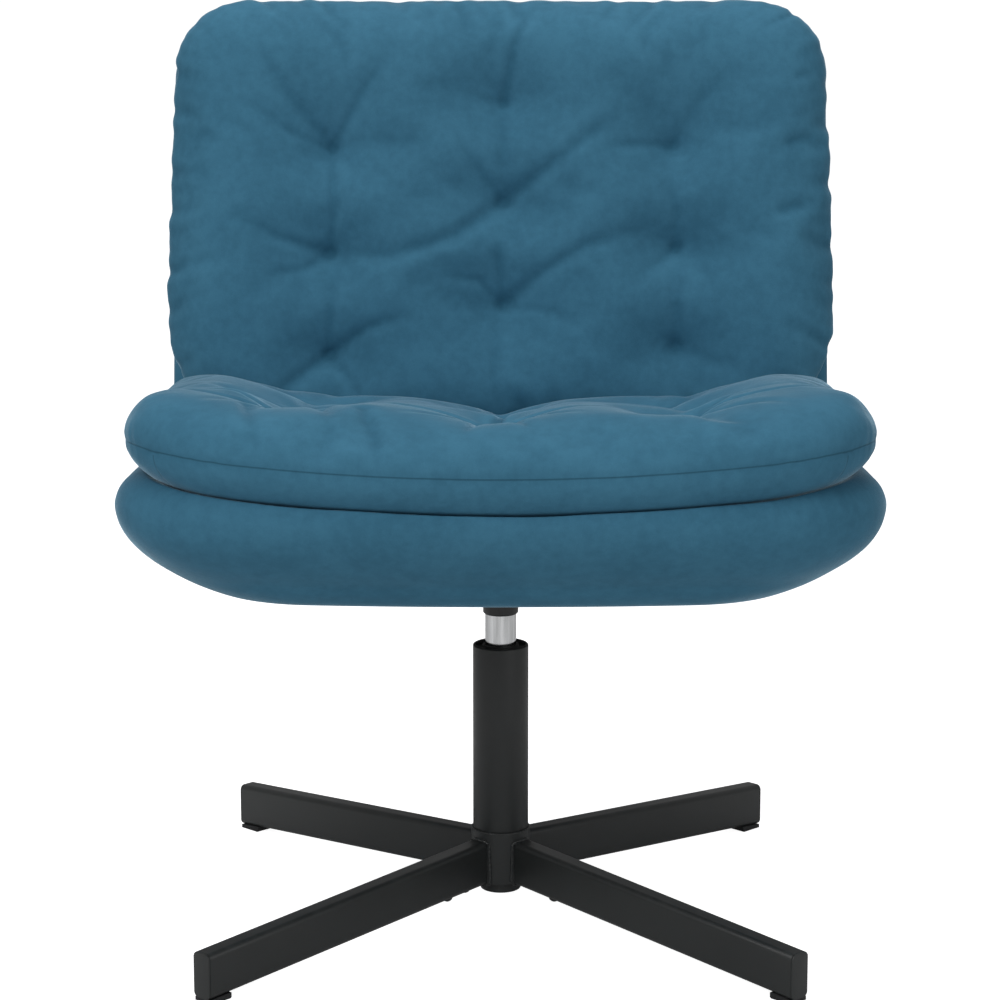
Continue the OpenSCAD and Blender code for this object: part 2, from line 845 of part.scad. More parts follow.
module back_pad_cover() {
    color("#2f6480") difference() {
        in_back() difference() {
            back_pad_form(0);
            back_pad_form(cover_t);
        }
        seat_space();
    }
}

// ---------------------------------------------------------------- the chair

base_hub();
leg(225);  // leg_front_left
leg(315);  // leg_front_right
leg(135);  // leg_rear_left
leg(45);  // leg_rear_right
leg_end_caps();
floor_glides();
stand_tube();
guide_bush();
lower_bearing_race();
ball_cage();
bearing_balls();
upper_bearing_race();
rubber_bumper();
piston_rod();
gas_piston();
piston_seal();
rod_washer();
rod_clip();
gas_cylinder();
rod_guide();
valve_block();
release_pin();
taper_socket();
mechanism_channel();
seat_plate();
lever_bracket();
lever_pivot_pin();
height_lever();
lever_grip();
seat_bolts();
seat_bolt_washers();
tee_nuts();
seat_board();
dust_cover();
seat_shell_foam();
seat_shell_cover();
seat_pad_foam();
seat_pad_cover();
back_straps();
strap_screws();
back_board();
back_shell_foam();
back_shell_cover();
back_pad_foam();
back_pad_cover();
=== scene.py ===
"""Swivel office chair: velvet cushions and shells on a powder-coated cross base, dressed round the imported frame."""

import logging
import math
from collections.abc import Callable
from dataclasses import dataclass, field
from enum import Enum

import bpy
import numpy as np
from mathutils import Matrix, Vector


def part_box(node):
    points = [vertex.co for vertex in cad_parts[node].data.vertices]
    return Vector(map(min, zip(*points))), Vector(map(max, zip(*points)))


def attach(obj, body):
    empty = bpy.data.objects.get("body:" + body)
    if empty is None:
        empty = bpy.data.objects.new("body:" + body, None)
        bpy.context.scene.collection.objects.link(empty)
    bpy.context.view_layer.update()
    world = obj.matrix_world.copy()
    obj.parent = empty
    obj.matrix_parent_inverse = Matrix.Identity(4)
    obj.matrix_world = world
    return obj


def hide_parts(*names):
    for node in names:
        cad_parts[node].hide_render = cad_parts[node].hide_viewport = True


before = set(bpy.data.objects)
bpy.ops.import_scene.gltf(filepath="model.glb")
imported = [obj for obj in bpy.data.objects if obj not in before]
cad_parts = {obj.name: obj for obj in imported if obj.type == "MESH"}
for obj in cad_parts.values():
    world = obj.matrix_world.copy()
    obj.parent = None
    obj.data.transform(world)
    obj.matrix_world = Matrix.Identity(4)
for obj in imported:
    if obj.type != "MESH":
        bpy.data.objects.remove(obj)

log = logging.getLogger("chair")
Array = np.ndarray
Obj, Mesh, Node, Socket = bpy.types.Object, bpy.types.Mesh, bpy.types.Node, bpy.types.NodeSocket

MM = 0.001
COVER_THICKNESS = 0.6 * MM
BACK_HINGE = (0.0, 0.193, 0.141)  # in the seat's frame
BACK_LEAN = 9.0  # degrees past the seat's own tilt
NO_SEAM = 1.0  # a distance so far off that no stitch line shows
WELD = 0.01 * MM  # loose corners nearer than this are one


# -- working frames

@dataclass(frozen=True)
class Tilt:
    """A working frame that leans back about the X axis, such as the seat's or the back's own."""

    origin: tuple[float, float, float]
    degrees: float

    def axes(self) -> Array:
        """The frame's x, y and z axes as the columns of a matrix."""
        c, s = math.cos(math.radians(self.degrees)), math.sin(math.radians(self.degrees))
        return np.array([[1, 0, 0], [0, c, s], [0, -s, c]])

    def out(self, co: Array) -> Array:
        """Points of this frame in the row frame."""
        return co @ self.axes().T + np.array(self.origin)

    def into(self, co: Array) -> Array:
        """Points of the row frame in this frame."""
        return (co - np.array(self.origin)) @ self.axes()


def seat_tilt() -> Tilt:
    """The seat's frame, read from the thin dust cover that lies on the seat's underside."""
    lo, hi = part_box("dust_cover")
    angle = math.atan2(hi.z - lo.z - COVER_THICKNESS, hi.y - lo.y)
    return Tilt((0.0, 0.0, lo.z + hi.y * math.tan(angle)), math.degrees(angle))


def back_tilt(seat: Tilt) -> Tilt:
    """The back's frame: its y = 0 plane lies between the back's shell and its pad, its z runs up the back."""
    hinge = seat.out(np.array([BACK_HINGE]))[0]
    return Tilt(tuple(hinge), seat.degrees + BACK_LEAN)


# -- surfaces

def mesh_object(name: str, co: Array, faces: Array | list) -> Obj:
    """A smooth-shaded mesh object at the origin.

    Args:
        name: the piece's name.
        co: its points, in the row frame.
        faces: its faces as rows of point numbers.

    Returns:
        The object, linked to the scene.
    """
    me = bpy.data.meshes.new(name)
    me.from_pydata(np.asarray(co).tolist(), [], faces if isinstance(faces, list) else faces.tolist())
    me.shade_smooth()
    ob = bpy.data.objects.new(name, me)
    bpy.context.scene.collection.objects.link(ob)
    return ob


def read(items: bpy.types.bpy_prop_collection, key: str) -> Array:
    """One vector per item of a mesh's collection, as the rows of an array."""
    v = np.empty(len(items) * 3, np.float32)
    items.foreach_get(key, v)
    return v.reshape(-1, 3).astype(float)


def points(me: Mesh) -> Array:
    """A mesh's points."""
    return read(me.vertices, "co")


def normals(me: Mesh) -> Array:
    """A mesh's point normals."""
    return read(me.vertex_normals, "vector")


def set_points(me: Mesh, co: Array) -> None:
    """Moves a mesh's points."""
    me.vertices.foreach_set("co", co.astype(np.float32).ravel())
    me.update()


def set_field(me: Mesh, name: str, values: Array) -> None:
    """Keeps one number or one vector per point under that name."""
    kind = "FLOAT" if values.ndim == 1 else "FLOAT_VECTOR"
    layer = me.attributes.get(name) or me.attributes.new(name, kind, "POINT")
    layer.data.foreach_set("value" if kind == "FLOAT" else "vector", values.astype(np.float32).ravel())


def neighbour_mean(me: Mesh) -> Callable[[Array], Array]:
    """A function that gives, for one number per point, the mean over each point's neighbours along the mesh's edges."""
    edges = np.empty(len(me.edges) * 2, np.int32)
    me.edges.foreach_get("vertices", edges)
    a, b = edges.reshape(-1, 2).T
    n = len(me.vertices)
    count = np.bincount(a, minlength=n) + np.bincount(b, minlength=n)
    return lambda v: (np.bincount(a, v[b], n) + np.bincount(b, v[a], n)) / count


def eased(me: Mesh, rounds: int) -> None:
    """Evens out creases as small as the mesh's cells: each round moves points half-way to their neighbours' mean."""
    mean, co = neighbour_mean(me), points(me)
    for _ in range(rounds):
        co = 0.5 * co + 0.5 * np.stack([mean(co[:, k]) for k in range(3)], 1)
    set_points(me, co)


def baked(ob: Obj) -> Mesh:
    """A new mesh with the object's modifiers applied. The object itself is removed."""
    dg = bpy.context.evaluated_depsgraph_get()
    me = bpy.data.meshes.new_from_object(ob.evaluated_get(dg), preserve_all_data_layers=True, depsgraph=dg)
    old = ob.data
    bpy.data.objects.remove(ob)
    bpy.data.meshes.remove(old)
    return me


def subdivide(ob: Obj) -> None:
    """Adds one level of Catmull-Clark subdivision."""
    m = ob.modifiers.new("smooth", "SUBSURF")
    m.levels = m.render_levels = 1


def finer(me: Mesh) -> Mesh:
    """The mesh with one level of Catmull-Clark subdivision applied."""
    ob = bpy.data.objects.new("finer", me)
    bpy.context.scene.collection.objects.link(ob)
    subdivide(ob)
    bpy.context.view_layer.update()
    return baked(ob)


def pillow(n: int, half_w: float, half_h: float, low: float, high: float) -> tuple[Array, Array, Array, Array, Array]:
    """Two sheets that meet at a rim, over a plan with round corners.

    Each sheet is a square grid whose lines crowd towards the rim as the sine of an even step. In each corner square a
    point keeps its direction from the corner's centre, and its larger offset becomes its distance from that centre.

    Args:
        n: grid lines each way.
        half_w: half the plan's width, along p.
        half_h: half its height, along q.
        low: radius of the two corners at negative q.
        high: radius of the two corners at positive q.

    Returns:
        p, q, the distance to the rim, the side (1 front sheet, -1 back sheet, 0 rim), and the quads.
    """
    t = np.sin(np.linspace(-math.pi / 2, math.pi / 2, n))
    a, b = (g.ravel() for g in np.meshgrid(t, t, indexing="ij"))
    p, q = a * half_w, b * half_h
    corner = np.where(b < 0, low, high)
    cp, cq = np.clip(p, corner - half_w, half_w - corner), np.clip(q, corner - half_h, half_h - corner)
    dp, dq = p - cp, q - cq
    far, reach = np.maximum(abs(dp), abs(dq)), np.hypot(dp, dq)
    k = np.where(reach > 1e-9, far / np.maximum(reach, 1e-9), 1.0)
    p, q = cp + dp * k, cq + dq * k
    inside = np.where((abs(dp) > 1e-9) & (abs(dq) > 1e-9), corner - far, np.minimum(half_w - abs(p), half_h - abs(q)))
    inside = np.where(inside < 1e-7, 0.0, inside)
    i = np.arange(n * n).reshape(n, n)
    quads = np.stack([i[:-1, :-1], i[1:, :-1], i[1:, 1:], i[:-1, 1:]], -1).reshape(-1, 4)
    rim = inside == 0
    back_of = np.where(rim, np.arange(n * n), n * n + np.cumsum(~rim) - 1)
    keep = ~rim
    side = np.concatenate([np.where(rim, 0, 1), -np.ones(keep.sum())])
    return (np.concatenate([p, p[keep]]), np.concatenate([q, q[keep]]), np.concatenate([inside, inside[keep]]), side,
            np.concatenate([quads, back_of[quads[:, ::-1]]]))


def rounded(inside: Array, edge: float, power: float = 2.0) -> Array:
    """Share of the full thickness at a distance inside the rim: a quarter superellipse that is full from edge on."""
    return (1 - (1 - np.clip(inside / edge, 0, 1)) ** power) ** (1 / power)


def ring(half_w: float, y0: float, y1: float, corner: float, arc: int = 14, run: int = 20) -> Array:
    """A closed rounded rectangle, anticlockwise: four arcs with a straight run of even steps after each."""
    t = np.linspace(0, math.pi / 2, arc)
    centres = [(half_w - corner, y1 - corner), (corner - half_w, y1 - corner),
               (corner - half_w, y0 + corner), (half_w - corner, y0 + corner)]
    arcs = [np.stack([x + corner * np.cos(t + k * math.pi / 2), y + corner * np.sin(t + k * math.pi / 2)], 1)
            for k, (x, y) in enumerate(centres)]
    parts = []
    for k in range(4):
        a, b = arcs[k][-1], arcs[(k + 1) % 4][0]
        parts += [arcs[k], a + (b - a) * np.linspace(0, 1, run + 2)[1:-1, None]]
    return np.concatenate(parts)


def smooth_rows(knots: Array, steps: int) -> Array:
    """Catmull-Rom curve through the rows of a table, with so many steps from row to row."""
    p = np.vstack([2 * knots[0] - knots[1], knots, 2 * knots[-1] - knots[-2]])
    t = np.linspace(0, 1, steps, endpoint=False)[:, None]
    rows = [0.5 * (2 * p[i] + (p[i + 1] - p[i - 1]) * t + (2 * p[i - 1] - 5 * p[i] + 4 * p[i + 1] - p[i + 2]) * t ** 2
                   + (3 * p[i] - p[i - 1] - 3 * p[i + 1] + p[i + 2]) * t ** 3) for i in range(1, len(p) - 2)]
    return np.vstack(rows + [knots[-1:]])


def closed_loft(loops: Array) -> tuple[Array, list]:
    """A closed skin over a stack of loops with a pole at each end.

    Args:
        loops: loops x points x 3, anticlockwise seen from the last loop's end.

    Returns:
        Points and faces, facing out.
    """
    m, n = loops.shape[:2]
    co = np.vstack([loops.reshape(-1, 3), loops[0].mean(0), loops[-1].mean(0)])
    i = np.arange(m * n).reshape(m, n)
    j = np.roll(i, -1, 1)
    quads = np.stack([i[:-1], j[:-1], j[1:], i[1:]], -1).reshape(-1, 4).tolist()
    low = [[m * n, b, a] for a, b in zip(i[0].tolist(), j[0].tolist())]
    top = [[m * n + 1, a, b] for a, b in zip(i[-1].tolist(), j[-1].tolist())]
    return co, quads + low + top


def step(x: Array, a: float, b: float) -> Array:
    """A smooth step of x from 0 at a to 1 at b."""
    t = np.clip((x - a) / (b - a), 0, 1)
    return t * t * (3 - 2 * t)


def along(pts: Array, line: Array) -> tuple[Array, Array]:
    """How far plan points lie from a polyline, and how far along it their nearest place is.

    Args:
        pts: plan points.
        line: the polyline's corners.

    Returns:
        The distance to the line, and the nearest place as a share of its length.
    """
    a, d = line[:-1], np.diff(line, axis=0)
    length = np.hypot(d[:, 0], d[:, 1])
    start = np.concatenate([[0], np.cumsum(length)[:-1]])
    t = np.clip(((pts[:, None] - a) * d).sum(-1) / (length ** 2), 0, 1)
    gap = np.linalg.norm(pts[:, None] - (a + t[..., None] * d), axis=-1)
    best = gap.argmin(1)
    rows = np.arange(len(pts))
    return gap[rows, best], (start[best] + t[rows, best] * length[best]) / length.sum()


# -- stuffed cushions

@dataclass(frozen=True)
class Stuffing:
    """How a cushion's cover is cut and filled for the cloth simulation."""

    voxel: float = 0.006
    pressure: float = 5.0
    ease: float = 0.05
    frames: int = 20
    cap: float = 0.016
    eases: int = 3


@dataclass(frozen=True)
class Fold:
    """One crease of the cover: a line in the cushion's plan, deepest at its first point."""

    line: tuple
    depth: float
    width: float


def in_metres(*places: tuple) -> tuple:
    """Plan places given in millimetres, in metres."""
    return tuple((p / 1000, q / 1000) for p, q in places)


def fold_table(*rows: tuple) -> tuple:
    """Folds from rows in millimetres: the p and q of each point of the line in turn, then the depth and the width."""
    return tuple(Fold(in_metres(*zip(r[:-2:2], r[1:-2:2])), r[-2] / 1000, r[-1] / 1000) for r in rows)


@dataclass
class Cushion:
    """A stuffed, tufted pad. Its own frame has p across, q up the pad and t out towards the sitter."""

    name: str
    place: Tilt
    half_w: float
    q_low: float
    q_high: float
    thick: float
    low_corner: float
    high_corner: float
    edge: float
    crown: float
    tufts: tuple
    folds: tuple
    tuft_depth: float
    tuft_spread: float
    stands_for: tuple
    fill: float
    stuffing: Stuffing = Stuffing()
    seam_t: float = 0.0
    seam_depth: float = 0.0016
    pucker: float = 0.00060
    rim_hold: float = 0.28
    soft_share: float = 0.40
    crisp_share: float = 0.27

    @property
    def half_h(self) -> float:
        """Half the pad's height."""
        return (self.q_high - self.q_low) / 2

    @property
    def mid(self) -> float:
        """The q of the pad's middle."""
        return (self.q_high + self.q_low) / 2

    def form(self) -> tuple[Array, Array]:
        """The stuffed form before tufting, flat: two domed sheets with round edges."""
        p, q, inside, side, quads = pillow(81, self.half_w, self.half_h, self.low_corner, self.high_corner)
        t = side * rounded(inside, self.edge) * self.thick / 2
        dome = (1 - (p / self.half_w) ** 4) * (1 - (q / self.half_h) ** 4)
        t += np.where(side > 0, self.crown * dome * step(inside, 0, self.edge), 0)
        return np.stack([p, q + self.mid, t], 1), quads

    def lay(self, co: Array) -> Array:
        """The pad's own bend, from flat to as it lies."""
        return co

    def to_row(self, co: Array) -> Array:
        """The pad's own frame (p, q, t) to the row frame."""
        raise NotImplementedError

    def rests(self, row: Array) -> Array:
        """Flattens what would sink into a neighbour."""
        return row

    def edge_gap(self, co: Array) -> Array:
        """Distance inside the rim, seen from the front."""
        p, q = abs(co[:, 0]), co[:, 1] - self.mid
        corner = np.where(q < 0, self.low_corner, self.high_corner)
        dp, dq = p - (self.half_w - corner), abs(q) - (self.half_h - corner)
        straight = np.minimum(self.half_w - p, self.half_h - abs(q))
        return np.where((dp > 0) & (dq > 0), corner - np.hypot(dp, dq), straight)

    def around(self, co: Array) -> Array:
        """Angle round the pad's middle, scaled so that even steps are nearly even along the rim."""
        w, h = self.half_w, self.half_h
        p, q = co[:, 0] / w, (co[:, 1] - self.mid) / h
        big = np.maximum(np.maximum(abs(p), abs(q)), 1e-9)
        p, q = p / big * w, q / big * h
        top, left, low = q >= h - 1e-6, p <= 1e-6 - w, q <= 1e-6 - h
        return np.select([top, left, low], [w - p, 2 * w + h - q, 2 * w + 2 * h + w + p], 4 * w + 3 * h + q)

    def gathers(self, co: Array) -> Array:
        """How far the gathered seam draws the cover in: uneven ruffles, centimetres long, that fade from the rim."""
        s, total = self.around(co), 4 * (self.half_w + self.half_h)
        turns = [round(total / w) for w in (0.019, 0.031, 0.058, 0.131)]
        shares, phases = (0.4, 0.6, 0.6, 0.5), (0.3, 1.9, 4.2, 2.7)
        wave = sum(k * np.sin(2 * math.pi * n * s / total + f) for n, k, f in zip(turns, shares, phases))
        wave *= 0.6 + 0.5 * np.sin(10 * math.pi * s / total + 0.8) * np.sin(14 * math.pi * s / total + 2.1)
        return self.pucker * (wave - 0.6) * np.exp(-(np.clip(self.edge_gap(co), 0, 1) / 0.024) ** 1.5)

    def creases(self, co: Array, narrow: float = 1.0, hush: float = 0.75) -> Array:
        """Height of the folds: each a narrow valley between two low ridges, fading at its far end and at its stitch.

        Where folds meet, the deepest valley and the highest ridge count, so they don't add up to a hole.

        Args:
            co: points in the pad's flat coordinates.
            narrow: the folds' width as a share of their full width.
            hush: how much of a fold fades at its stitch.

        Returns:
            The height of each point.
        """
        valley, ridge = np.zeros(len(co)), np.zeros(len(co))
        for f in self.folds:
            gap, share = along(co[:, :2], np.array(f.line))
            start = np.hypot(co[:, 0] - f.line[0][0], co[:, 1] - f.line[0][1])
            fade = f.depth * (1 - share) ** 0.9 * (1 - hush * np.exp(-(start / 0.014) ** 2))
            width = narrow * f.width
            valley = np.maximum(valley, fade * np.exp(-(gap / width) ** 1.6))
            ridge = np.maximum(ridge, 0.5 * fade * np.exp(-((gap - 2.1 * width) / (1.3 * width)) ** 2))
        return ridge - valley

    def tuft_gap(self, co: Array) -> Array:
        """Distance to the nearest tuft, seen from the front."""
        return np.hypot(*(co[:, None, k] - np.array(self.tufts)[None, :, k] for k in (0, 1))).min(1)

    def pits(self, co: Array) -> Array:
        """How deep the tufts pull the cover in: a wide soft saucer with a small dimple at the stitch."""
        gap = self.tuft_gap(co)
        wide = 0.65 * np.exp(-(gap / self.tuft_spread) ** 1.5)
        return self.tuft_depth * (wide + 0.35 * np.exp(-(gap / 0.012) ** 1.5))

    def held(self, co: Array) -> Array:
        """How firmly each point is held while the pad is filled: at the stitches, at the back and at the seam."""
        gap = self.tuft_gap(co)
        weight = np.zeros(len(co))
        rim = (self.edge_gap(co) < 0.008) & (abs(co[:, 2] - self.seam_t) < self.stuffing.voxel)
        weight[rim] = self.rim_hold
        weight[co[:, 2] < -0.3 * self.thick] = 1
        weight[(gap < self.stuffing.voxel * 0.9) & (co[:, 2] > 0)] = 1
        return weight

    def build(self) -> Obj:
        """Stuffs, tufts and seams the pad.

        Returns:
            The finished piece, riding on the seat.
        """
        co, quads = self.form()
        ob = mesh_object("form", co, quads)
        m = ob.modifiers.new("even", "REMESH")
        m.mode, m.voxel_size = "VOXEL", self.stuffing.voxel
        bpy.context.view_layer.update()
        me = baked(ob)
        flat = points(me)
        set_field(me, "flat", flat)
        front = step(flat[:, 2], 0, self.thick * 0.3)
        start = flat.copy()
        start[:, 2] -= front * np.minimum(self.pits(flat), flat[:, 2] + self.thick * 0.2)
        start = self.lay(start)
        set_points(me, start)
        start += normals(me) * (front * self.soft_share * self.creases(flat) + self.gathers(flat))[:, None]
        set_points(me, start)
        me = self.fill_up(me, start, self.held(flat))
        eased(me, self.stuffing.eases)
        me = finer(me)
        flat = read(me.attributes["flat"].data, "vector")
        me.attributes.remove(me.attributes["flat"])
        front = step(flat[:, 2], 0, self.thick * 0.3)
        seam = flat[:, 2] - self.seam_t
        co = points(me)
        stitch = 0.0018 * np.exp(-(self.tuft_gap(flat) / 0.006) ** 1.3)
        pinch = self.crisp_share * self.creases(flat, 0.62, 0.0) - stitch
        pinch = front * pinch + self.gathers(flat) - self.seam_depth * np.exp(-(seam / 0.0035) ** 2)
        co += normals(me) * pinch[:, None]
        set_points(me, self.rests(self.to_row(co)))
        set_field(me, "seam", seam)
        set_field(me, "dart", self.dart(flat))
        ob = bpy.data.objects.new(self.name, me)
        bpy.context.scene.collection.objects.link(ob)
        me.shade_smooth()
        declare_velvet(ob, self.stands_for)
        return ob

    def dart(self, flat: Array) -> Array:
        """Signed distance to the cover's darts, far off where it has none."""
        return np.ones(len(flat))

    def fill_up(self, me: Mesh, start: Array, weight: Array) -> Mesh:
        """Runs the cloth simulation: the cover, cut a little large, is blown up against its stitches.

        Args:
            me: the cover's mesh at its starting place.
            start: the same points.
            weight: how firmly each is held.

        Returns:
            The filled cover's mesh, with no point moved further than the cap.
        """
        s = self.stuffing
        scene = bpy.context.scene
        ob = bpy.data.objects.new("cover", me)
        scene.collection.objects.link(ob)
        pins = ob.vertex_groups.new(name="held")
        for w in np.unique(weight[weight > 0]):
            pins.add(np.nonzero(weight == w)[0].tolist(), float(w), "REPLACE")
        cloth = ob.modifiers.new("cloth", "CLOTH")
        c = cloth.settings
        c.quality, c.mass, c.air_damping = 6, 0.1, 2
        c.tension_stiffness = c.compression_stiffness = 15
        c.shear_stiffness, c.bending_stiffness = 5, 0.5
        c.use_pressure, c.uniform_pressure_force = True, s.pressure
        c.vertex_group_mass, c.pin_stiffness = "held", 1
        c.shrink_min, c.effector_weights.gravity = -s.ease, 0
        cloth.collision_settings.use_collision = False
        cloth.point_cache.frame_start, cloth.point_cache.frame_end = 1, s.frames
        for f in range(1, s.frames + 1):
            scene.frame_set(f)
        out = baked(ob)
        scene.frame_set(1)
        move = points(out) - start
        reach = np.linalg.norm(move, axis=1)
        log.info("%s: cover moved %.1f mm at most, %.1f mm on average", self.name, reach.max() / MM, reach.mean() / MM)
        set_points(out, start + move * np.minimum(1, s.cap / np.maximum(reach, 1e-9))[:, None])
        return out


@dataclass
class BackPad(Cushion):
    """The tall pad that the sitter leans on."""

    seat: Tilt = Tilt((0, 0, 0), 0)
    floor: float = 0.110
    taper: float = 0.017

    def lay(self, co: Array) -> Array:
        """The upper half draws in at the sides by a small share of its width."""
        out = co.copy()
        out[:, 0] *= 1 - self.taper * step(co[:, 1], 0.12, 0.30)
        return out

    def to_row(self, co: Array) -> Array:
        """p across, q up the back, t out of its front; the pad's middle is half its thickness before the shell."""
        return self.place.out(np.stack([co[:, 0], -self.thick / 2 - co[:, 2], co[:, 1]], 1))

    def rests(self, row: Array) -> Array:
        """The pad's lower end is flat where it stands on the seat's shell."""
        own = self.seat.into(row)
        own[:, 2] = np.maximum(own[:, 2], self.floor)
        return self.seat.out(own)


@dataclass
class SeatPad(Cushion):
    """The seat's pad: dished along its middle, bowed out at its front."""

    bow: float = 0.024
    mid_z: float = 0.119
    dish: float = 0.020
    roll: float = 0.007
    hollow: float = 0.016
    belly: float = 0.008

    def lay(self, co: Array) -> Array:
        """The front bows out and the sides lie higher than the middle, both as the square of the distance from it.

        A low roll runs along the front of the top, and behind it the top sinks evenly towards the middle. The underside
        hangs lower in the middle of the front.
        """
        out = co.copy()
        x = np.clip(co[:, 0] / 0.300, -1.1, 1.1)
        out[:, 1] -= self.bow * (1 - x ** 2) * np.clip((self.mid - co[:, 1]) / self.half_h, 0, 1) ** 1.5
        out[:, 2] += self.mid_z + self.dish * x ** 2
        top = np.clip(co[:, 2] / self.thick * 2, 0, 1)
        out[:, 2] += self.roll * top * np.exp(-((co[:, 1] + 0.235) / 0.05) ** 2)
        out[:, 2] -= self.hollow * top * np.clip(1 - abs(x), 0, 1) * step(co[:, 1], -0.215, -0.10)
        out[:, 2] -= np.clip(-co[:, 2] / self.thick * 2, 0, 1) * self.hang(x, co[:, 1])
        return out

    def hang(self, x: Array, q: Array) -> Array:
        """How far the underside hangs: full in the middle of the front, nothing at the sides and further back."""
        return self.belly * np.clip(1 - x ** 2, 0, 1) * step(-q, 0.16, 0.27)

    def underside(self, x: Array, y: Array) -> Array:
        """Height of the pad's underside in the seat's frame, far up where there is no pad."""
        u = np.clip(x / 0.300, -1.1, 1.1)
        q = y + self.bow * (1 - u ** 2) * np.clip((self.mid - y) / self.half_h, 0, 1) ** 1.5
        inside = self.edge_gap(np.stack([x.ravel(), q.ravel()], 1)).reshape(x.shape)
        low = self.mid_z + self.dish * u ** 2 - rounded(inside, self.edge) * (self.thick / 2 + self.hang(u, q))
        return np.where(inside > 0, low, 1.0)

    def to_row(self, co: Array) -> Array:
        """p across, q to the back, t up."""
        return self.place.out(co)

    def dart(self, flat: Array) -> Array:
        """One short dart below the seam in the middle of each front corner."""
        a, b = abs(flat[:, 0]) - (self.half_w - self.low_corner), self.q_low + self.low_corner - flat[:, 1]
        near = (flat[:, 2] < self.seam_t) & (a > 0.02) & (b > 0.02)
        return np.where(near, (a - b) / math.sqrt(2), 1.0)


# -- upholstered shells

@dataclass
class SeatShell:
    """The firm velvet tray under the seat pad: a flat underside, flared sides and a fat round rim."""

    place: Tilt
    pad: SeatPad
    half_w: float = 0.322
    front: float = -0.305
    back: float = 0.252
    bow: float = 0.022
    sag: float = 0.075
    # height, side inset, front inset, back inset, corner radius
    section: tuple = (
        (0.0006, 0.112, 0.094, 0.068, 0.056), (0.0010, 0.0995, 0.081, 0.060, 0.064),
        (0.0045, 0.0865, 0.069, 0.053, 0.070), (0.0125, 0.066, 0.056, 0.047, 0.080),
        (0.0220, 0.046, 0.046, 0.042, 0.090), (0.0340, 0.0285, 0.0285, 0.027, 0.100),
        (0.0480, 0.014, 0.014, 0.014, 0.108), (0.0630, 0.0043, 0.0043, 0.0043, 0.115),
        (0.0790, 0.0, 0.0, 0.0, 0.120), (0.0905, 0.0023, 0.0023, 0.0023, 0.118),
        (0.0992, 0.0078, 0.0078, 0.0078, 0.112), (0.1052, 0.0160, 0.0160, 0.0160, 0.104),
        (0.1082, 0.0240, 0.0240, 0.0240, 0.096), (0.1090, 0.0330, 0.0330, 0.0330, 0.087))

    def loop(self, row: Array) -> Array:
        """One loop of the shell at a height, drawn in by the row's insets, its front bowed as the square of x.

        The rim hangs a little lower in the middle of the front.
        """
        z, side, front, back, corner = row
        half = self.half_w - side
        xy = ring(half, self.front + front, self.back - back, corner)
        ahead = np.clip(-xy[:, 1] / -(self.front + front), 0, 1) ** 1.5
        middle = (1 - (xy[:, 0] / half) ** 2) * ahead
        xy[:, 1] -= self.bow * middle
        return np.column_stack([xy, z * (1 - self.sag * middle * step(z, 0.03, 0.10))])

    def build(self) -> Obj:
        """Lofts the shell over its loops, closes it above and below, and presses the pad's bed into its top.

        Returns:
            The finished piece, riding on the seat.
        """
        loops = np.stack([self.loop(r) for r in smooth_rows(np.array(self.section), 4)])
        mid = np.array([0, (self.front + self.back) / 2, 0])
        inner = [mid + (loops[-1] - mid) * np.array([s, s, 1]) for s in (0.94, 0.86, 0.76, 0.64, 0.5, 0.34, 0.16)]
        under = [mid + (loops[0] - mid) * np.array([s, s, 1]) for s in (0.2, 0.45, 0.7, 0.88)]
        loops = np.concatenate([np.stack(under), loops, np.stack(inner)])
        x, y, z = loops[..., 0], loops[..., 1], loops[..., 2]
        loops[..., 2] = np.where(z > 0.05, np.minimum(z, self.pad.underside(x, y) - 0.0004), z)
        co, faces = closed_loft(loops)
        ob = mesh_object("seat_shell", self.place.out(co), faces)
        me = ob.data
        co = points(me)
        soft = np.sin(co[:, 0] * 31 + 1.3) * np.sin(co[:, 1] * 27 + 0.4) + 0.6 * np.sin(co[:, 0] * 67 + co[:, 2] * 50)
        own_z = self.place.into(co)[:, 2]
        set_points(me, co + normals(me) * (0.0005 * soft * step(own_z, 0.004, 0.03))[:, None])
        set_field(me, "seam", np.ones(len(co)))
        set_field(me, "dart", np.ones(len(co)))
        subdivide(ob)
        declare_velvet(ob, ("seat_shell_cover", "seat_shell_foam"))
        return ob


@dataclass
class BackShell:
    """The firm velvet slab behind the back pad."""

    place: Tilt
    seat: Tilt
    half_w: float = 0.313
    low: float = -0.034
    high: float = 0.371
    front: float = 0.0006
    thick: float = 0.0414
    edge: float = 0.020
    seam_in: float = 0.016
    floor: float = 0.1093

    def build(self) -> Obj:
        """A firm pillow with a sewn-on rear panel.

        Returns:
            The finished piece, riding on the seat.
        """
        half_h, mid = (self.high - self.low) / 2, (self.high + self.low) / 2
        p, q, inside, side, quads = pillow(91, self.half_w, half_h, 0.030, 0.066)
        t = side * rounded(inside, self.edge) * self.thick / 2
        seam = np.where(side < 0, inside, -inside) - self.seam_in
        t += np.where(side < 0, 0.0016 * np.exp(-(seam / 0.0025) ** 2) - 0.004 * step(inside, 0.02, 0.16), 0)
        y = self.front + self.thick / 2 - t
        row = self.place.out(np.stack([p, y, q + mid], 1))
        own = self.seat.into(row)
        own[:, 2] = np.maximum(own[:, 2], self.floor)
        ob = mesh_object("back_shell", self.seat.out(own), quads)
        set_field(ob.data, "seam", seam)
        set_field(ob.data, "dart", np.ones(len(p)))
        subdivide(ob)
        declare_velvet(ob, ("back_shell_cover", "back_shell_foam"))
        return ob


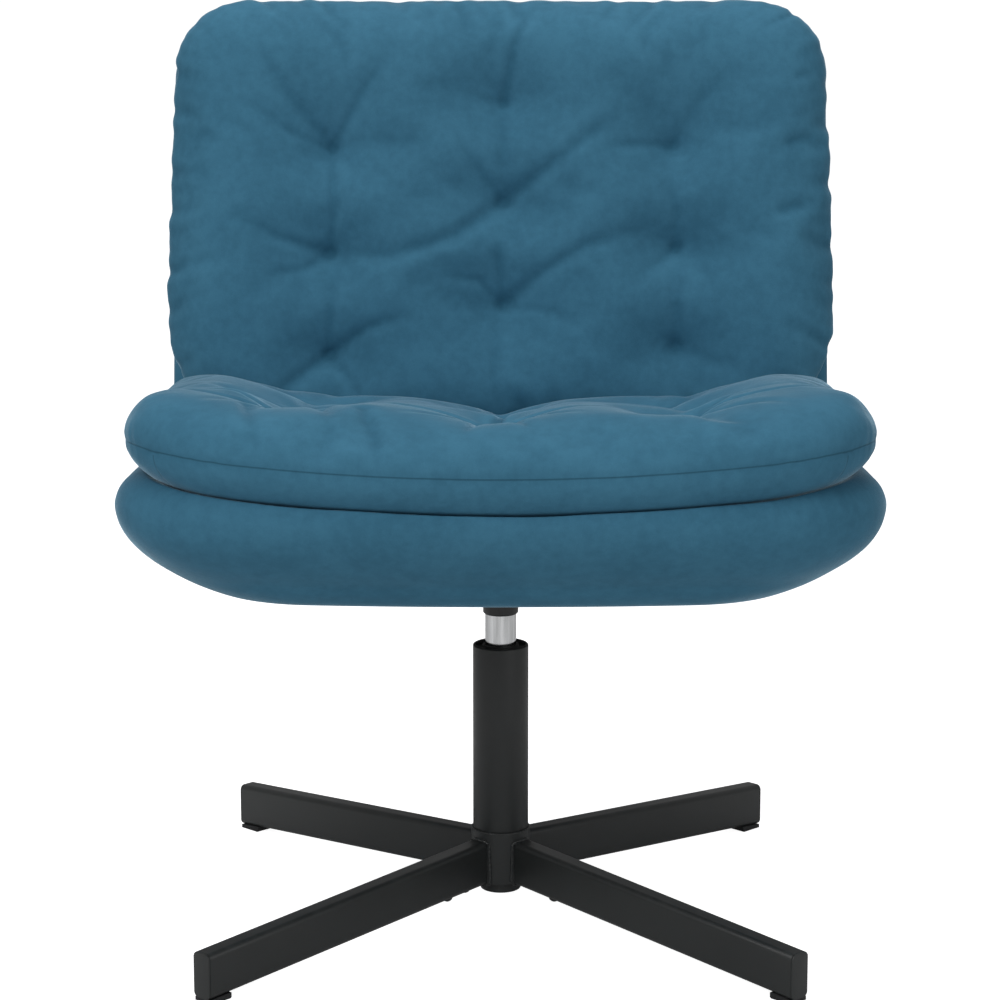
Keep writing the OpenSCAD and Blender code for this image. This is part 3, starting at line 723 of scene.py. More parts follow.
def crest_shade_of(me: Mesh) -> Array:
    """How far each point stands out from its neighbours, smoothed: about 1 on a ridge and -1 in a crease. The velvet
    paints it into its colour, as a painted highlight on ridges and painted shade in creases.

    The mean of a point's neighbours is taken from its place, along the normal, and divided by the mean square of the
    edge lengths, which gives the curvature.
    """
    mean, co = neighbour_mean(me), points(me)
    near = np.stack([mean(co[:, k]) for k in range(3)], 1)
    spread = sum(mean(co[:, k] ** 2) - 2 * co[:, k] * near[:, k] + co[:, k] ** 2 for k in range(3))
    bend = ((co - near) * normals(me)).sum(1) / np.maximum(spread, 1e-10)
    for _ in range(4):
        bend = 0.5 * bend + 0.5 * mean(bend)
    return np.clip(bend / 40, -1, 1)


def declare_velvet(ob: Obj, stands_for: tuple) -> None:
    """Stores an upholstered piece's crest value and says what it rides on and stands for."""
    # Painted light and shade: the velvet paints ridges paler and creases darker from this crest value.
    set_field(ob.data, "crest_shade", crest_shade_of(ob.data))
    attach(ob, "seat")
    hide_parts(*stands_for)


# -- node trees

class Effect(Enum):
    """The effects that several finishes share, each built once as a node group."""

    GRAIN = "surface_grain"
    NAP = "velvet_nap"
    STITCH = "seam_line"
    DUST = "settled_dust"
    BRUSHED = "brushed_lines"


class Wiring:
    """A short hand for placing and joining the nodes of one tree."""

    def __init__(self, tree: bpy.types.NodeTree) -> None:
        """Keeps the tree."""
        self.tree = tree

    def put(self, kind: str, values: dict | None = None, **settings: object) -> Node:
        """Places a node.

        Args:
            kind: the node's type.
            values: socket name or number to a constant, or to another node's output.
            settings: the node's own properties.

        Returns:
            The node.
        """
        node = self.tree.nodes.new(kind)
        for k, v in settings.items():
            setattr(node, k, v)
        return self.feed(node, values or {})

    def feed(self, node: Node, values: dict) -> Node:
        """Gives a node's sockets, by name or number, a constant or another node's output, and returns the node."""
        for k, v in values.items():
            if isinstance(v, Socket):
                self.tree.links.new(v, node.inputs[k])
            else:
                node.inputs[k].default_value = v
        return node

    def effect(self, effect: Effect, values: dict) -> bpy.types.bpy_prop_collection:
        """The outputs of a shared effect placed in this tree."""
        return self.put("ShaderNodeGroup", values, node_tree=bpy.data.node_groups[effect.value]).outputs

    def bump(self, height: Socket, distance: float, strength: float, **under: Socket) -> Socket:
        """The normal from a Bump node, laid over another normal where one is given."""
        sockets = {"Height": height, "Distance": distance, "Strength": strength, **under}
        return self.put("ShaderNodeBump", sockets).outputs[0]

    def math(self, do: str, a: object, b: object = 0.0, clamp: bool = False) -> Socket:
        """The output of a Math node."""
        return self.put("ShaderNodeMath", {0: a, 1: b}, operation=do, use_clamp=clamp).outputs[0]

    def noise(self, vector: Socket, scale: float | Socket, detail: float, rough: float) -> Socket:
        """The output of a Noise Texture."""
        values = {"Vector": vector, "Scale": scale, "Detail": detail, "Roughness": rough}
        return self.put("ShaderNodeTexNoise", values).outputs[0]

    def mix(self, share: object, a: object, b: object) -> Socket:
        """The output of a colour mix."""
        return self.put("ShaderNodeMix", {0: share, 6: a, 7: b}, data_type="RGBA").outputs[2]

    def span(self, value: object, a: float, b: float, c: float = 0.0, d: float = 1.0) -> Socket:
        """A value mapped from a..b to c..d, clamped."""
        return self.put("ShaderNodeMapRange", {0: value, 1: a, 2: b, 3: c, 4: d}).outputs[0]


def new_group(effect: Effect, inputs: dict, outputs: tuple) -> tuple[Wiring, bpy.types.bpy_prop_collection, Node]:
    """An empty node group with named inputs and outputs.

    Args:
        effect: which effect it is.
        inputs: each input's name and its default number, or None for a vector.
        outputs: the outputs' names, all numbers.

    Returns:
        Its wiring, its input sockets by name, and its output node.
    """
    tree = bpy.data.node_groups.new(effect.value, "ShaderNodeTree")
    for name, default in inputs.items():
        kind = "NodeSocketVector" if default is None else "NodeSocketFloat"
        socket = tree.interface.new_socket(name, in_out="INPUT", socket_type=kind)
        if default is not None:
            socket.default_value = default
    for name in outputs:
        tree.interface.new_socket(name, in_out="OUTPUT", socket_type="NodeSocketFloat")
    w = Wiring(tree)
    return w, w.put("NodeGroupInput").outputs, w.put("NodeGroupOutput")


def build_effects() -> None:
    """Builds the shared node groups."""
    w, i, o = new_group(Effect.GRAIN, {"Vector": None, "Scale": 900.0, "Patch Scale": 9.0}, ("Height", "Patches"))
    patches = w.span(w.noise(i["Vector"], i["Patch Scale"], 4, 0.55), 0.3, 0.7)
    w.feed(o, {"Height": w.noise(i["Vector"], i["Scale"], 3, 0.6), "Patches": patches})

    w, i, o = new_group(Effect.NAP, {"Vector": None, "Cloud Scale": 17.0, "Fibre Scale": 1100.0},
                        ("Clouds", "Fibres", "Height"))
    cloud = w.noise(i["Vector"], i["Cloud Scale"], 4, 0.62)
    small = w.noise(i["Vector"], w.math("MULTIPLY", i["Cloud Scale"], 6.5), 3, 0.6)
    fibre = w.noise(i["Vector"], i["Fibre Scale"], 2, 0.7)
    both = w.math("ADD", w.math("MULTIPLY", cloud, 0.55), w.math("MULTIPLY", small, 0.45))
    height = w.math("ADD", fibre, w.math("MULTIPLY", small, 0.8))
    w.feed(o, {"Clouds": w.span(both, 0.38, 0.62), "Fibres": w.span(fibre, 0.25, 0.75), "Height": height})

    w, i, o = new_group(Effect.STITCH, {"Distance": NO_SEAM, "Width": 1.0 * MM}, ("Line", "Height"))
    near = w.math("DIVIDE", i["Distance"], i["Width"])
    line = w.math("SUBTRACT", 1.0, w.math("MINIMUM", w.math("ABSOLUTE", near), 1.0))
    w.feed(o, {"Line": line, "Height": w.math("MULTIPLY", line, -1.0)})

    w, i, o = new_group(Effect.DUST, {"Vector": None, "Amount": 0.15}, ("Dust",))
    up = w.put("ShaderNodeSeparateXYZ", {0: w.put("ShaderNodeNewGeometry").outputs["Normal"]}).outputs[2]
    lying = w.span(up, 0.3, 1.0)
    fleck = w.span(w.noise(i["Vector"], 60.0, 5, 0.7), 0.4, 0.75)
    w.feed(o, {"Dust": w.math("MULTIPLY", w.math("MULTIPLY", lying, fleck), i["Amount"])})

    w, i, o = new_group(Effect.BRUSHED, {"Vector": None, "Scale": 700.0}, ("Lines", "Height"))
    long = w.put("ShaderNodeMapping", {"Vector": i["Vector"], "Scale": (1.0, 1.0, 0.06)}).outputs[0]
    lines = w.noise(long, i["Scale"], 3, 0.6)
    w.feed(o, {"Lines": w.span(lines, 0.3, 0.7), "Height": lines})


class Finish:
    """A finish that paints pieces: subclasses wire the material."""

    name: str

    def material(self) -> bpy.types.Material:
        """The finish's material, made on first use."""
        known = bpy.data.materials.get(self.name + "_finish")
        if known:
            return known
        mat = bpy.data.materials.new(self.name + "_finish")
        mat.use_nodes = True
        mat.node_tree.nodes.clear()
        w = Wiring(mat.node_tree)
        shader = w.put("ShaderNodeBsdfPrincipled")
        w.put("ShaderNodeOutputMaterial", {"Surface": shader.outputs[0]})
        self.wire(w, shader, w.put("ShaderNodeTexCoord").outputs["Object"])
        return mat

    def wire(self, w: Wiring, shader: Node, coords: Socket) -> None:
        """Joins the finish's nodes to the shader."""
        raise NotImplementedError

    def paint(self, *obs: Obj) -> None:
        """Gives the pieces this finish alone."""
        for ob in obs:
            ob.data.materials.clear()
            ob.data.materials.append(self.material())


@dataclass(frozen=True)
class Velvet(Finish):
    """Short cotton velvet: a brushed, cloudy nap with a pale bloom at grazing angles."""

    name: str
    deep: tuple
    pale: tuple
    seam: tuple
    sheen: float = 0.9

    def wire(self, w: Wiring, shader: Node, coords: Socket) -> None:
        """Clouds set the colour, the crest value paints highlights on ridges and shade in creases, and fibres set the
        fine bump.
        """
        nap = w.effect(Effect.NAP, {"Vector": coords})
        seam, dart, crest_shade = (w.put("ShaderNodeAttribute", attribute_name=name).outputs["Fac"]
                             for name in ("seam", "dart", "crest_shade"))
        seam, dart = (w.effect(Effect.STITCH, {"Distance": d}) for d in (seam, dart))
        line, dip = w.math("MAXIMUM", seam["Line"], dart["Line"]), w.math("MINIMUM", seam["Height"], dart["Height"])
        tone = w.math("ADD", w.math("MULTIPLY", nap["Clouds"], 0.36), w.math("MULTIPLY", nap["Fibres"], 0.2))
        # Painted highlight on ridges and painted shade in creases, from the crest value.
        tone = w.math("ADD", tone, w.math("ADD", w.math("MULTIPLY", crest_shade, 0.45), 0.24), clamp=True)
        colour = w.mix(tone, (*self.deep, 1), (*self.pale, 1))
        colour = w.mix(w.math("MULTIPLY", line, 0.65), colour, (*self.seam, 1))
        fine = w.bump(nap["Height"], 0.0004, 0.35)
        w.feed(shader, {"Base Color": colour, "Roughness": w.span(nap["Clouds"], 0, 1, 0.84, 0.92),
                        "Normal": w.bump(dip, 0.0008, 0.25, Normal=fine), "Sheen Weight": self.sheen,
                        "Sheen Roughness": 0.22, "Sheen Tint": (0.60, 0.84, 1.0, 1), "Specular IOR Level": 0.12})


@dataclass(frozen=True)
class Coating(Finish):
    """A dark moulded or sprayed surface with a fine grain: powder coat, plastic, rubber or paint."""

    name: str
    colour: tuple
    rough: float
    grain: float = 900.0
    bump: float = 0.25
    dust: float = 0.05

    def wire(self, w: Wiring, shader: Node, coords: Socket) -> None:
        """Grain sets the bump, patches the tone and the gloss, and dust lies on what faces up."""
        grain = w.effect(Effect.GRAIN, {"Vector": coords, "Scale": self.grain})
        dust = w.effect(Effect.DUST, {"Vector": coords, "Amount": self.dust})["Dust"]
        light = tuple(min(1.0, c * 1.25 + 0.002) for c in self.colour)
        colour = w.mix(grain["Patches"], (*self.colour, 1), (*light, 1))
        rough = w.math("ADD", w.span(grain["Patches"], 0, 1, self.rough - 0.04, self.rough + 0.05), dust, clamp=True)
        w.feed(shader, {"Base Color": w.mix(dust, colour, (0.35, 0.35, 0.34, 1)), "Roughness": rough,
                        "Normal": w.bump(grain["Height"], 0.0003, self.bump)})


@dataclass(frozen=True)
class Metal(Finish):
    """Bare metal: chrome, ground or plated steel, brass or aluminium."""

    name: str
    colour: tuple
    rough: float
    lines: float = 700.0
    bump: float = 0.1
    dull_and_painted_streak: float = 0.86

    def wire(self, w: Wiring, shader: Node, coords: Socket) -> None:
        """Fine lines along the piece vary the gloss and the tone; on the chrome the lines are wide, darker bands that
        are painted reflection streaks.
        """
        brushed = w.effect(Effect.BRUSHED, {"Vector": coords, "Scale": self.lines})
        dull_and_painted_streak = tuple(c * self.dull_and_painted_streak for c in self.colour)
        w.feed(shader, {"Base Color": w.mix(brushed["Lines"], (*dull_and_painted_streak, 1), (*self.colour, 1)), "Metallic": 1.0,
                        "Roughness": w.span(brushed["Lines"], 0, 1, self.rough * 1.3, self.rough * 0.8),
                        "Normal": w.bump(brushed["Height"], 0.0002, self.bump)})


@dataclass(frozen=True)
class Plywood(Finish):
    """Beech plywood: faces with long grain, edges with plies."""

    name: str
    light: tuple
    dark: tuple
    ply: float = 650.0

    def wire(self, w: Wiring, shader: Node, coords: Socket) -> None:
        """Stretched noise for the grain, and a band for each ply across the thickness."""
        long = w.put("ShaderNodeMapping", {"Vector": coords, "Scale": (1.0, 9.0, 14.0)}).outputs[0]
        grain = w.span(w.noise(long, 14.0, 5, 0.65), 0.3, 0.7)
        bands = {"Vector": coords, "Scale": self.ply / 6.283, "Distortion": 0.4}
        plies = w.put("ShaderNodeTexWave", bands, bands_direction="Z").outputs[1]
        tone = w.math("ADD", w.math("MULTIPLY", grain, 0.7), w.math("MULTIPLY", plies, 0.3))
        w.feed(shader, {"Base Color": w.mix(tone, (*self.dark, 1), (*self.light, 1)),
                        "Roughness": w.span(grain, 0, 1, 0.6, 0.72), "Normal": w.bump(grain, 0.0003, 0.4)})


@dataclass(frozen=True)
class DustCloth(Finish):
    """Thin black non-woven cloth, pressed with small dots."""

    name: str
    colour: tuple

    def wire(self, w: Wiring, shader: Node, coords: Socket) -> None:
        """Matted fibres, with rows of pressed dots."""
        grain = w.effect(Effect.GRAIN, {"Vector": coords, "Scale": 420.0, "Patch Scale": 30.0})
        dots = w.put("ShaderNodeTexVoronoi", {"Vector": coords, "Scale": 420.0, "Randomness": 0.15}).outputs["Distance"]
        pressed = w.span(dots, 0.15, 0.4)
        tone = w.math("MULTIPLY", w.math("ADD", pressed, grain["Patches"]), 0.4)
        w.feed(shader, {"Base Color": w.mix(tone, (*self.colour, 1), (*(c * 2.6 for c in self.colour), 1)),
                        "Roughness": w.span(pressed, 0, 1, 0.6, 0.9),
                        "Normal": w.bump(w.math("ADD", pressed, grain["Height"]), 0.0003, 0.5)})


VELVET = Velvet("blue_velvet", (0.026, 0.106, 0.174), (0.059, 0.193, 0.296), (0.013, 0.050, 0.080))
POWDER = Coating("black_powder_coat", (0.016, 0.018, 0.018), 0.42, 1400, 0.22)
PLASTIC = Coating("black_plastic", (0.020, 0.022, 0.022), 0.48, 1900, 0.2)
GLIDE = Coating("glide_plastic", (0.010, 0.010, 0.011), 0.6, 1600, 0.2)
RUBBER = Coating("rubber", (0.016, 0.016, 0.016), 0.75, 700, 0.3)
OXIDE = Coating("black_oxide_steel", (0.022, 0.022, 0.024), 0.35, 1200, 0.15)
STRAP = Coating("strap_steel", (0.075, 0.076, 0.080), 0.45, 900, 0.2)
# The chrome's wide darker bands are painted reflection streaks.
CHROME = Metal("bright_chrome", (0.80, 0.81, 0.82), 0.13, 190, dull_and_painted_streak=0.60)
BEARING = Metal("bearing_steel", (0.62, 0.63, 0.64), 0.12)
GROUND = Metal("ground_steel", (0.60, 0.61, 0.62), 0.18, 900, 0.2)
BRASS = Metal("cage_brass", (0.70, 0.52, 0.26), 0.28)
ALUMINIUM = Metal("piston_aluminium", (0.66, 0.67, 0.69), 0.3)
ZINC = Metal("zinc_plate", (0.56, 0.58, 0.60), 0.34, 300, 0.3)
PLY = Plywood("plywood", (0.58, 0.41, 0.24), (0.40, 0.26, 0.14))
DUST_CLOTH = DustCloth("dust_cloth", (0.012, 0.012, 0.013))

NODE_FINISH = {
    POWDER: ("base_hub", "leg_front_left", "leg_front_right", "leg_rear_left", "leg_rear_right", "stand_tube",
             "seat_plate", "mechanism_channel", "taper_socket", "lever_bracket", "height_lever"),
    PLASTIC: ("leg_end_caps", "guide_bush", "lever_grip", "rod_guide"),
    GLIDE: ("floor_glides",),
    RUBBER: ("rubber_bumper", "piston_seal"),
    OXIDE: ("seat_bolts", "rod_clip"),
    STRAP: ("back_straps",),
    CHROME: ("gas_cylinder",),
    BEARING: ("bearing_balls", "lower_bearing_race", "upper_bearing_race"),
    GROUND: ("piston_rod", "release_pin", "lever_pivot_pin"),
    BRASS: ("ball_cage",),
    ALUMINIUM: ("gas_piston", "valve_block"),
    ZINC: ("seat_bolt_washers", "tee_nuts", "strap_screws", "rod_washer"),
    PLY: ("seat_board", "back_board"),
    DUST_CLOTH: ("dust_cover",),
}


# -- hard pieces

def even_shading() -> bpy.types.NodeTree:
    """A modifier tree that merges loose triangles and shades them smooth up to a sharp angle."""
    tree = bpy.data.node_groups.new("even_shading", "GeometryNodeTree")
    tree.is_modifier = True
    tree.interface.new_socket("Geometry", in_out="INPUT", socket_type="NodeSocketGeometry")
    angle = tree.interface.new_socket("Sharp From", in_out="INPUT", socket_type="NodeSocketFloat")
    angle.default_value = math.radians(32)
    tree.interface.new_socket("Geometry", in_out="OUTPUT", socket_type="NodeSocketGeometry")
    w = Wiring(tree)
    i, o = w.put("NodeGroupInput").outputs, w.put("NodeGroupOutput")
    merged = w.put("GeometryNodeMergeByDistance", {"Geometry": i[0], "Distance": WELD}).outputs[0]
    soft = w.put("GeometryNodeSetShadeSmooth", {0: merged}, domain="FACE").outputs[0]
    bent = w.put("GeometryNodeInputMeshEdgeAngle").outputs[0]
    sharp = w.put("FunctionNodeCompare", {0: bent, 1: i[1]}, operation="GREATER_THAN").outputs[0]
    done = w.put("GeometryNodeSetShadeSmooth", {0: soft, 1: sharp, 2: False}, domain="EDGE").outputs[0]
    w.feed(o, {0: done})
    return tree


@dataclass
class HardParts:
    """The base, column and seat fittings, which keep their CAD shape and get round edges and their finish."""

    # bevel width in millimetres: the nodes that get it
    edges: dict = field(default_factory=lambda: {
        0.8: ("leg_front_left", "leg_front_right", "leg_rear_left", "leg_rear_right", "floor_glides"),
        0.7: ("leg_end_caps",), 0.5: ("guide_bush",), 0.4: ("gas_cylinder", "lever_bracket"),
        0.6: ("base_hub", "stand_tube", "taper_socket", "seat_plate", "mechanism_channel", "lever_grip")})
    flat_below: float = math.radians(0.6)
    bevel_above: float = math.radians(35)

    def dress(self) -> None:
        """Welds, bevels, shades and paints every CAD node that still shows."""
        shading = even_shading()
        widths = {name: width * MM for width, names in self.edges.items() for name in names}
        for finish, names in NODE_FINISH.items():
            for name in names:
                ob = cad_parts[name]
                weld = ob.modifiers.new("weld", "WELD")
                weld.merge_threshold = WELD
                if name in widths:
                    flat = ob.modifiers.new("flat", "DECIMATE")
                    flat.decimate_type, flat.angle_limit = "DISSOLVE", self.flat_below
                    bevel = ob.modifiers.new("edge", "BEVEL")
                    bevel.width, bevel.segments, bevel.limit_method = widths[name], 2, "ANGLE"
                    bevel.angle_limit = self.bevel_above
                soft = ob.modifiers.new("shade", "NODES")
                soft.node_group = shading
                finish.paint(ob)
                log.info("%s: %s", name, finish.name)


def tube(path: Array, radius: Array, sides: int = 8) -> tuple[Array, Array]:
    """A closed tube along a closed path.

    A point is the path's point plus the radius times the cosine of the side angle along the path's outward normal and
    the sine along the binormal; the outward normal points from the path's middle.

    Args:
        path: the path's points, whose end joins its start.
        radius: the tube's radius at each of them.
        sides: points round the tube.

    Returns:
        Points and quads, facing out.
    """
    along_path = np.roll(path, -1, 0) - np.roll(path, 1, 0)
    along_path /= np.linalg.norm(along_path, axis=1, keepdims=True)
    outward = path - path.mean(0)
    outward -= (outward * along_path).sum(1, keepdims=True) * along_path
    outward /= np.linalg.norm(outward, axis=1, keepdims=True)
    across = np.cross(along_path, outward)
    a = np.linspace(0, 2 * math.pi, sides, endpoint=False)[None, :, None]
    co = path[:, None] + radius[:, None, None] * (np.cos(a) * outward[:, None] + np.sin(a) * across[:, None])
    i = np.arange(len(path) * sides).reshape(len(path), sides)
    j, k = np.roll(i, -1, 0), np.roll(i, -1, 1)
    return co.reshape(-1, 3), np.stack([i, k, np.roll(j, -1, 1), j], -1).reshape(-1, 4)


def joined(parts: list) -> tuple[Array, Array]:
    """Several (points, quads) pairs as one."""
    starts = np.cumsum([0] + [len(co) for co, _ in parts[:-1]])
    return np.vstack([co for co, _ in parts]), np.vstack([quads + n for (_, quads), n in zip(parts, starts)])


@dataclass
class HubWelds:
    """The fillet welds round the four legs where they meet the hub, and round the column where it enters the hub."""

    radius: float = 0.0017
    leg_half: float = 0.0098
    leg_height: float = 0.0405
    leg_angles: tuple = (45, 135, 225, 315)
    # distance from the axis, half length and half depth of each drop
    drop_sizes: tuple = ((0.035, 0.0055, 0.0034), (0.046, 0.0050, 0.0030), (0.070, 0.0052, 0.0034))
    leg_round: float = 0.0045
    hub_top_r: float = 0.0270
    hub_low_r: float = 0.0254

    def leg_ring(self, angle: float, low: float, high: float, hub: tuple, seed: int) -> tuple[Array, Array]:
        """The bead round one leg: the leg's rounded section laid on the hub's cone, with the ripples of hand welding.

        Args:
            angle: the leg's direction in degrees.
            low: the leg's underside at the hub.
            high: its top at the hub.
            hub: the heights of the hub's lower and upper ends.
            seed: number of the leg, for its ripples.

        Returns:
            Points and quads.
        """
        section = ring(self.leg_half, low, high, self.leg_round, 8, 26)
        u, z = section.T
        cone = self.hub_low_r + (self.hub_top_r - self.hub_low_r) * np.clip((z - hub[0]) / (hub[1] - hub[0]), 0, 1)
        r = np.sqrt(cone ** 2 - u ** 2)
        c, s = math.cos(math.radians(angle)), math.sin(math.radians(angle))
        path = np.stack([r * c - u * s, r * s + u * c, z], 1)
        t = np.linspace(0, 2 * math.pi, len(path), endpoint=False)
        rough = 1 + 0.16 * np.sin(37 * t + seed) + 0.12 * np.sin(11 * t + 2.0 * seed)
        rough += 0.35 * np.clip(-np.sin(t), 0, 1) ** 2
        return tube(path, self.radius * rough)

    def collar(self, radius: float, z: float) -> tuple[Array, Array]:
        """The bead round the column on top of the hub."""
        t = np.linspace(0, 2 * math.pi, 180, endpoint=False)
        path = np.stack([radius * np.cos(t), radius * np.sin(t), np.full(180, z)], 1)
        return tube(path, self.radius * (0.75 + 0.10 * np.sin(41 * t)))

    def drops(self, angle: float, low: float, slope: float, seed: int) -> list:
        """Three flat beads under a leg beside the hub: ellipsoids on a grid of two angles, half sunk in the leg."""
        v, h = np.linspace(0.02, math.pi - 0.02, 9), np.linspace(0, 2 * math.pi, 14, endpoint=False)
        ball = np.stack([np.outer(np.sin(v), np.cos(h)), np.outer(np.sin(v), np.sin(h)),
                         np.outer(np.cos(v), np.ones(14))], -1)
        i = np.arange(126).reshape(9, 14)
        quads = np.stack([i[:-1], i[1:], np.roll(i[1:], -1, 1), np.roll(i[:-1], -1, 1)], -1).reshape(-1, 4)
        caps = np.array([[0, k, k + 1, k + 1 if k == 12 else k + 2] for k in range(1, 12, 2)])
        caps = np.vstack([caps, 112 + caps[:, ::-1]])
        c, s = math.cos(math.radians(angle)), math.sin(math.radians(angle))
        parts = []
        for k, (r, long, deep) in enumerate(self.drop_sizes):
            u = 0.003 * math.sin(2.4 * seed + 1.7 * k)
            centre = np.array([r, u, low - (r - self.hub_low_r) * slope])
            co = ball.reshape(-1, 3) * np.array([long, 0.0035, deep]) + centre
            parts.append((co @ np.array([[c, s, 0], [-s, c, 0], [0, 0, 1]]), np.vstack([quads, caps])))
        return parts

    def build(self) -> Obj:
        """Makes the beads as one piece.

        Returns:
            The piece, riding on the base.
        """
        hub_lo, hub_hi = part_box("base_hub")
        leg_lo, leg_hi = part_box("leg_front_left")
        column_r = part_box("stand_tube")[1].x
        reach = max(abs(leg_lo.x), abs(leg_lo.y)) * math.sqrt(2)
        parts = []
        for seed, angle in enumerate(self.leg_angles):
            low = leg_hi.z - self.leg_height
            parts.append(self.leg_ring(angle, low, leg_hi.z - 0.0004, (hub_lo.z, hub_hi.z), seed))
            parts += self.drops(angle, low, (low - leg_lo.z) / reach, seed)
        parts.append(self.collar(column_r + 0.0006, hub_hi.z + 0.0002))
        ob = mesh_object("hub_welds", *joined(parts))
        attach(ob, "base")
        POWDER.paint(ob)
        return ob


@dataclass
class CoverStaples:
    """The staples that hold the dust cloth along its edge, under the seat."""

    place: Tilt
    inset: float = 0.007
    pitch: float = 0.034
    corner: float = 0.060
    length: float = 0.0100
    wire: float = 0.0006

    def build(self) -> Obj:
        """Lays a staple every few centimetres along a rounded rectangle; each is a flat wire with turned-down ends.

        A staple's six stations run down one leg, along the crown and down the other; every station is a square of wire.

        Returns:
            The piece, riding on the seat.
        """
        lo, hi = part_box("dust_cover")
        own_lo = self.place.into(np.array([[lo.x, lo.y, hi.z]]))[0]
        own_hi = self.place.into(np.array([[hi.x, hi.y, lo.z]]))[0]
        loop = ring(hi.x - self.inset, own_lo[1] + self.inset, own_hi[1] - self.inset, self.corner, 14, 20)
        gaps = np.linalg.norm(np.diff(np.vstack([loop, loop[:1]]), axis=0), axis=1)
        run = np.concatenate([[0], np.cumsum(gaps)])
        count = round(run[-1] / self.pitch)
        at = (np.arange(count) + 0.5 + 0.12 * np.sin(np.arange(count) * 2.3)) * run[-1] / count
        closed = np.vstack([loop, loop[:1]])
        x, y = (np.interp(at, run, closed[:, k]) for k in (0, 1))
        x2, y2 = (np.interp((at + 0.002) % run[-1], run, closed[:, k]) for k in (0, 1))
        turn = np.arctan2(y2 - y, x2 - x) + 0.12 * np.sin(np.arange(count) * 4.1)
        half, w = self.length / 2, self.wire
        along_x = np.array([-half, -half, -half + w, half - w, half, half])
        up = np.array([0.0016, -0.2 * w, -w, -w, -0.2 * w, 0.0016])
        square = np.array([[-1, -1], [1, -1], [1, 1], [-1, 1]]) * w / 2
        one = np.stack([np.repeat(along_x, 4), np.tile(square[:, 0], 6),
                        np.repeat(up, 4) + np.tile(square[:, 1], 6)], 1)
        i = np.arange(24).reshape(6, 4)
        sides = np.stack([i[:-1], i[1:], np.roll(i[1:], -1, 1), np.roll(i[:-1], -1, 1)], -1).reshape(-1, 4)
        quads = np.vstack([sides, i[:1], i[-1:, ::-1]])
        c, s = np.cos(turn)[:, None], np.sin(turn)[:, None]
        co = np.stack([x[:, None] + c * one[:, 0] - s * one[:, 1], y[:, None] + s * one[:, 0] + c * one[:, 1],
                       np.broadcast_to(one[:, 2], (count, 24)) - 0.0002], -1)
        faces = (quads[None] + 24 * np.arange(count)[:, None, None]).reshape(-1, 4)
        ob = mesh_object("cover_staples", self.place.out(co.reshape(-1, 3)), faces)
        ob.data.shade_flat()
        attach(ob, "seat")
        ZINC.paint(ob)
        return ob


# -- studio

@dataclass
class Studio:
    """Camera, pale floor and soft light."""

    camera_at: tuple = (-0.0006, -2.745, 0.927)
    look_down: float = 0.197
    lens: float = 113.04
    floor_reach: float = 6.0
    sky_seen: float = 1.05
    sky_light: float = 0.26
    floor_glow: float = 0.9
    softboxes: tuple = (
        # name, place, aims at, size, watts
        ("key", (-1.5, -2.2, 2.5), (0.0, 0.0, 0.45), 1.6, 46.0),
        ("fill", (2.2, -2.4, 1.4), (0.0, 0.0, 0.4), 2.0, 18.0),
        ("top", (0.0, 0.3, 2.6), (0.0, 0.0, 0.4), 1.8, 24.0),
    )

    def camera(self) -> None:
        """Sets up the camera, which everything else is placed round."""
        data = bpy.data.cameras.new("camera")
        data.lens, data.sensor_width = self.lens, 36.0
        ob = bpy.data.objects.new("camera", data)
        bpy.context.scene.collection.objects.link(ob)
        ob.location, ob.rotation_euler = self.camera_at, (math.pi / 2 - self.look_down, 0, 0)
        bpy.context.scene.camera = ob

    def light(self) -> None:
        """Hangs the softboxes and a pale sky, and lays the floor."""
        for name, at, aim, size, watts in self.softboxes:
            data = bpy.data.lights.new(name, "AREA")
            data.shape, data.size, data.energy = "SQUARE", size, watts
            ob = bpy.data.objects.new(name, data)
            ob.location = at
            ob.rotation_euler = (Vector(aim) - Vector(at)).to_track_quat("-Z", "Y").to_euler()
            bpy.context.scene.collection.objects.link(ob)
        world = bpy.data.worlds.new("studio")
        bpy.context.scene.world = world
        world.use_nodes = True
        w = Wiring(world.node_tree)
        world.node_tree.nodes.clear()
        seen = w.put("ShaderNodeLightPath").outputs["Is Camera Ray"]
        sky = w.put("ShaderNodeBackground", {"Color": (1, 1, 1, 1),
                                             "Strength": w.span(seen, 0, 1, self.sky_light, self.sky_seen)})
        w.put("ShaderNodeOutputWorld", {"Surface": sky.outputs[0]})
        corners = self.floor_reach * np.array([[-1, -1, 0], [1, -1, 0], [1, 1, 0], [-1, 1, 0]])
        floor = mesh_object("floor", corners, np.array([[0, 1, 2, 3]]))
        mat = bpy.data.materials.new("pale_floor")
        mat.use_nodes = True
        shader, w = mat.node_tree.nodes["Principled BSDF"], Wiring(mat.node_tree)
        seen = w.put("ShaderNodeLightPath").outputs["Is Camera Ray"]
        w.feed(shader, {"Base Color": (0.8, 0.8, 0.8, 1), "Roughness": 0.9, "Emission Color": (1, 1, 1, 1),
                        "Emission Strength": w.span(seen, 0, 1, 0.0, self.floor_glow)})
        floor.data.materials.append(mat)
        bpy.context.scene.view_settings.view_transform = "Standard"


# -- the chair

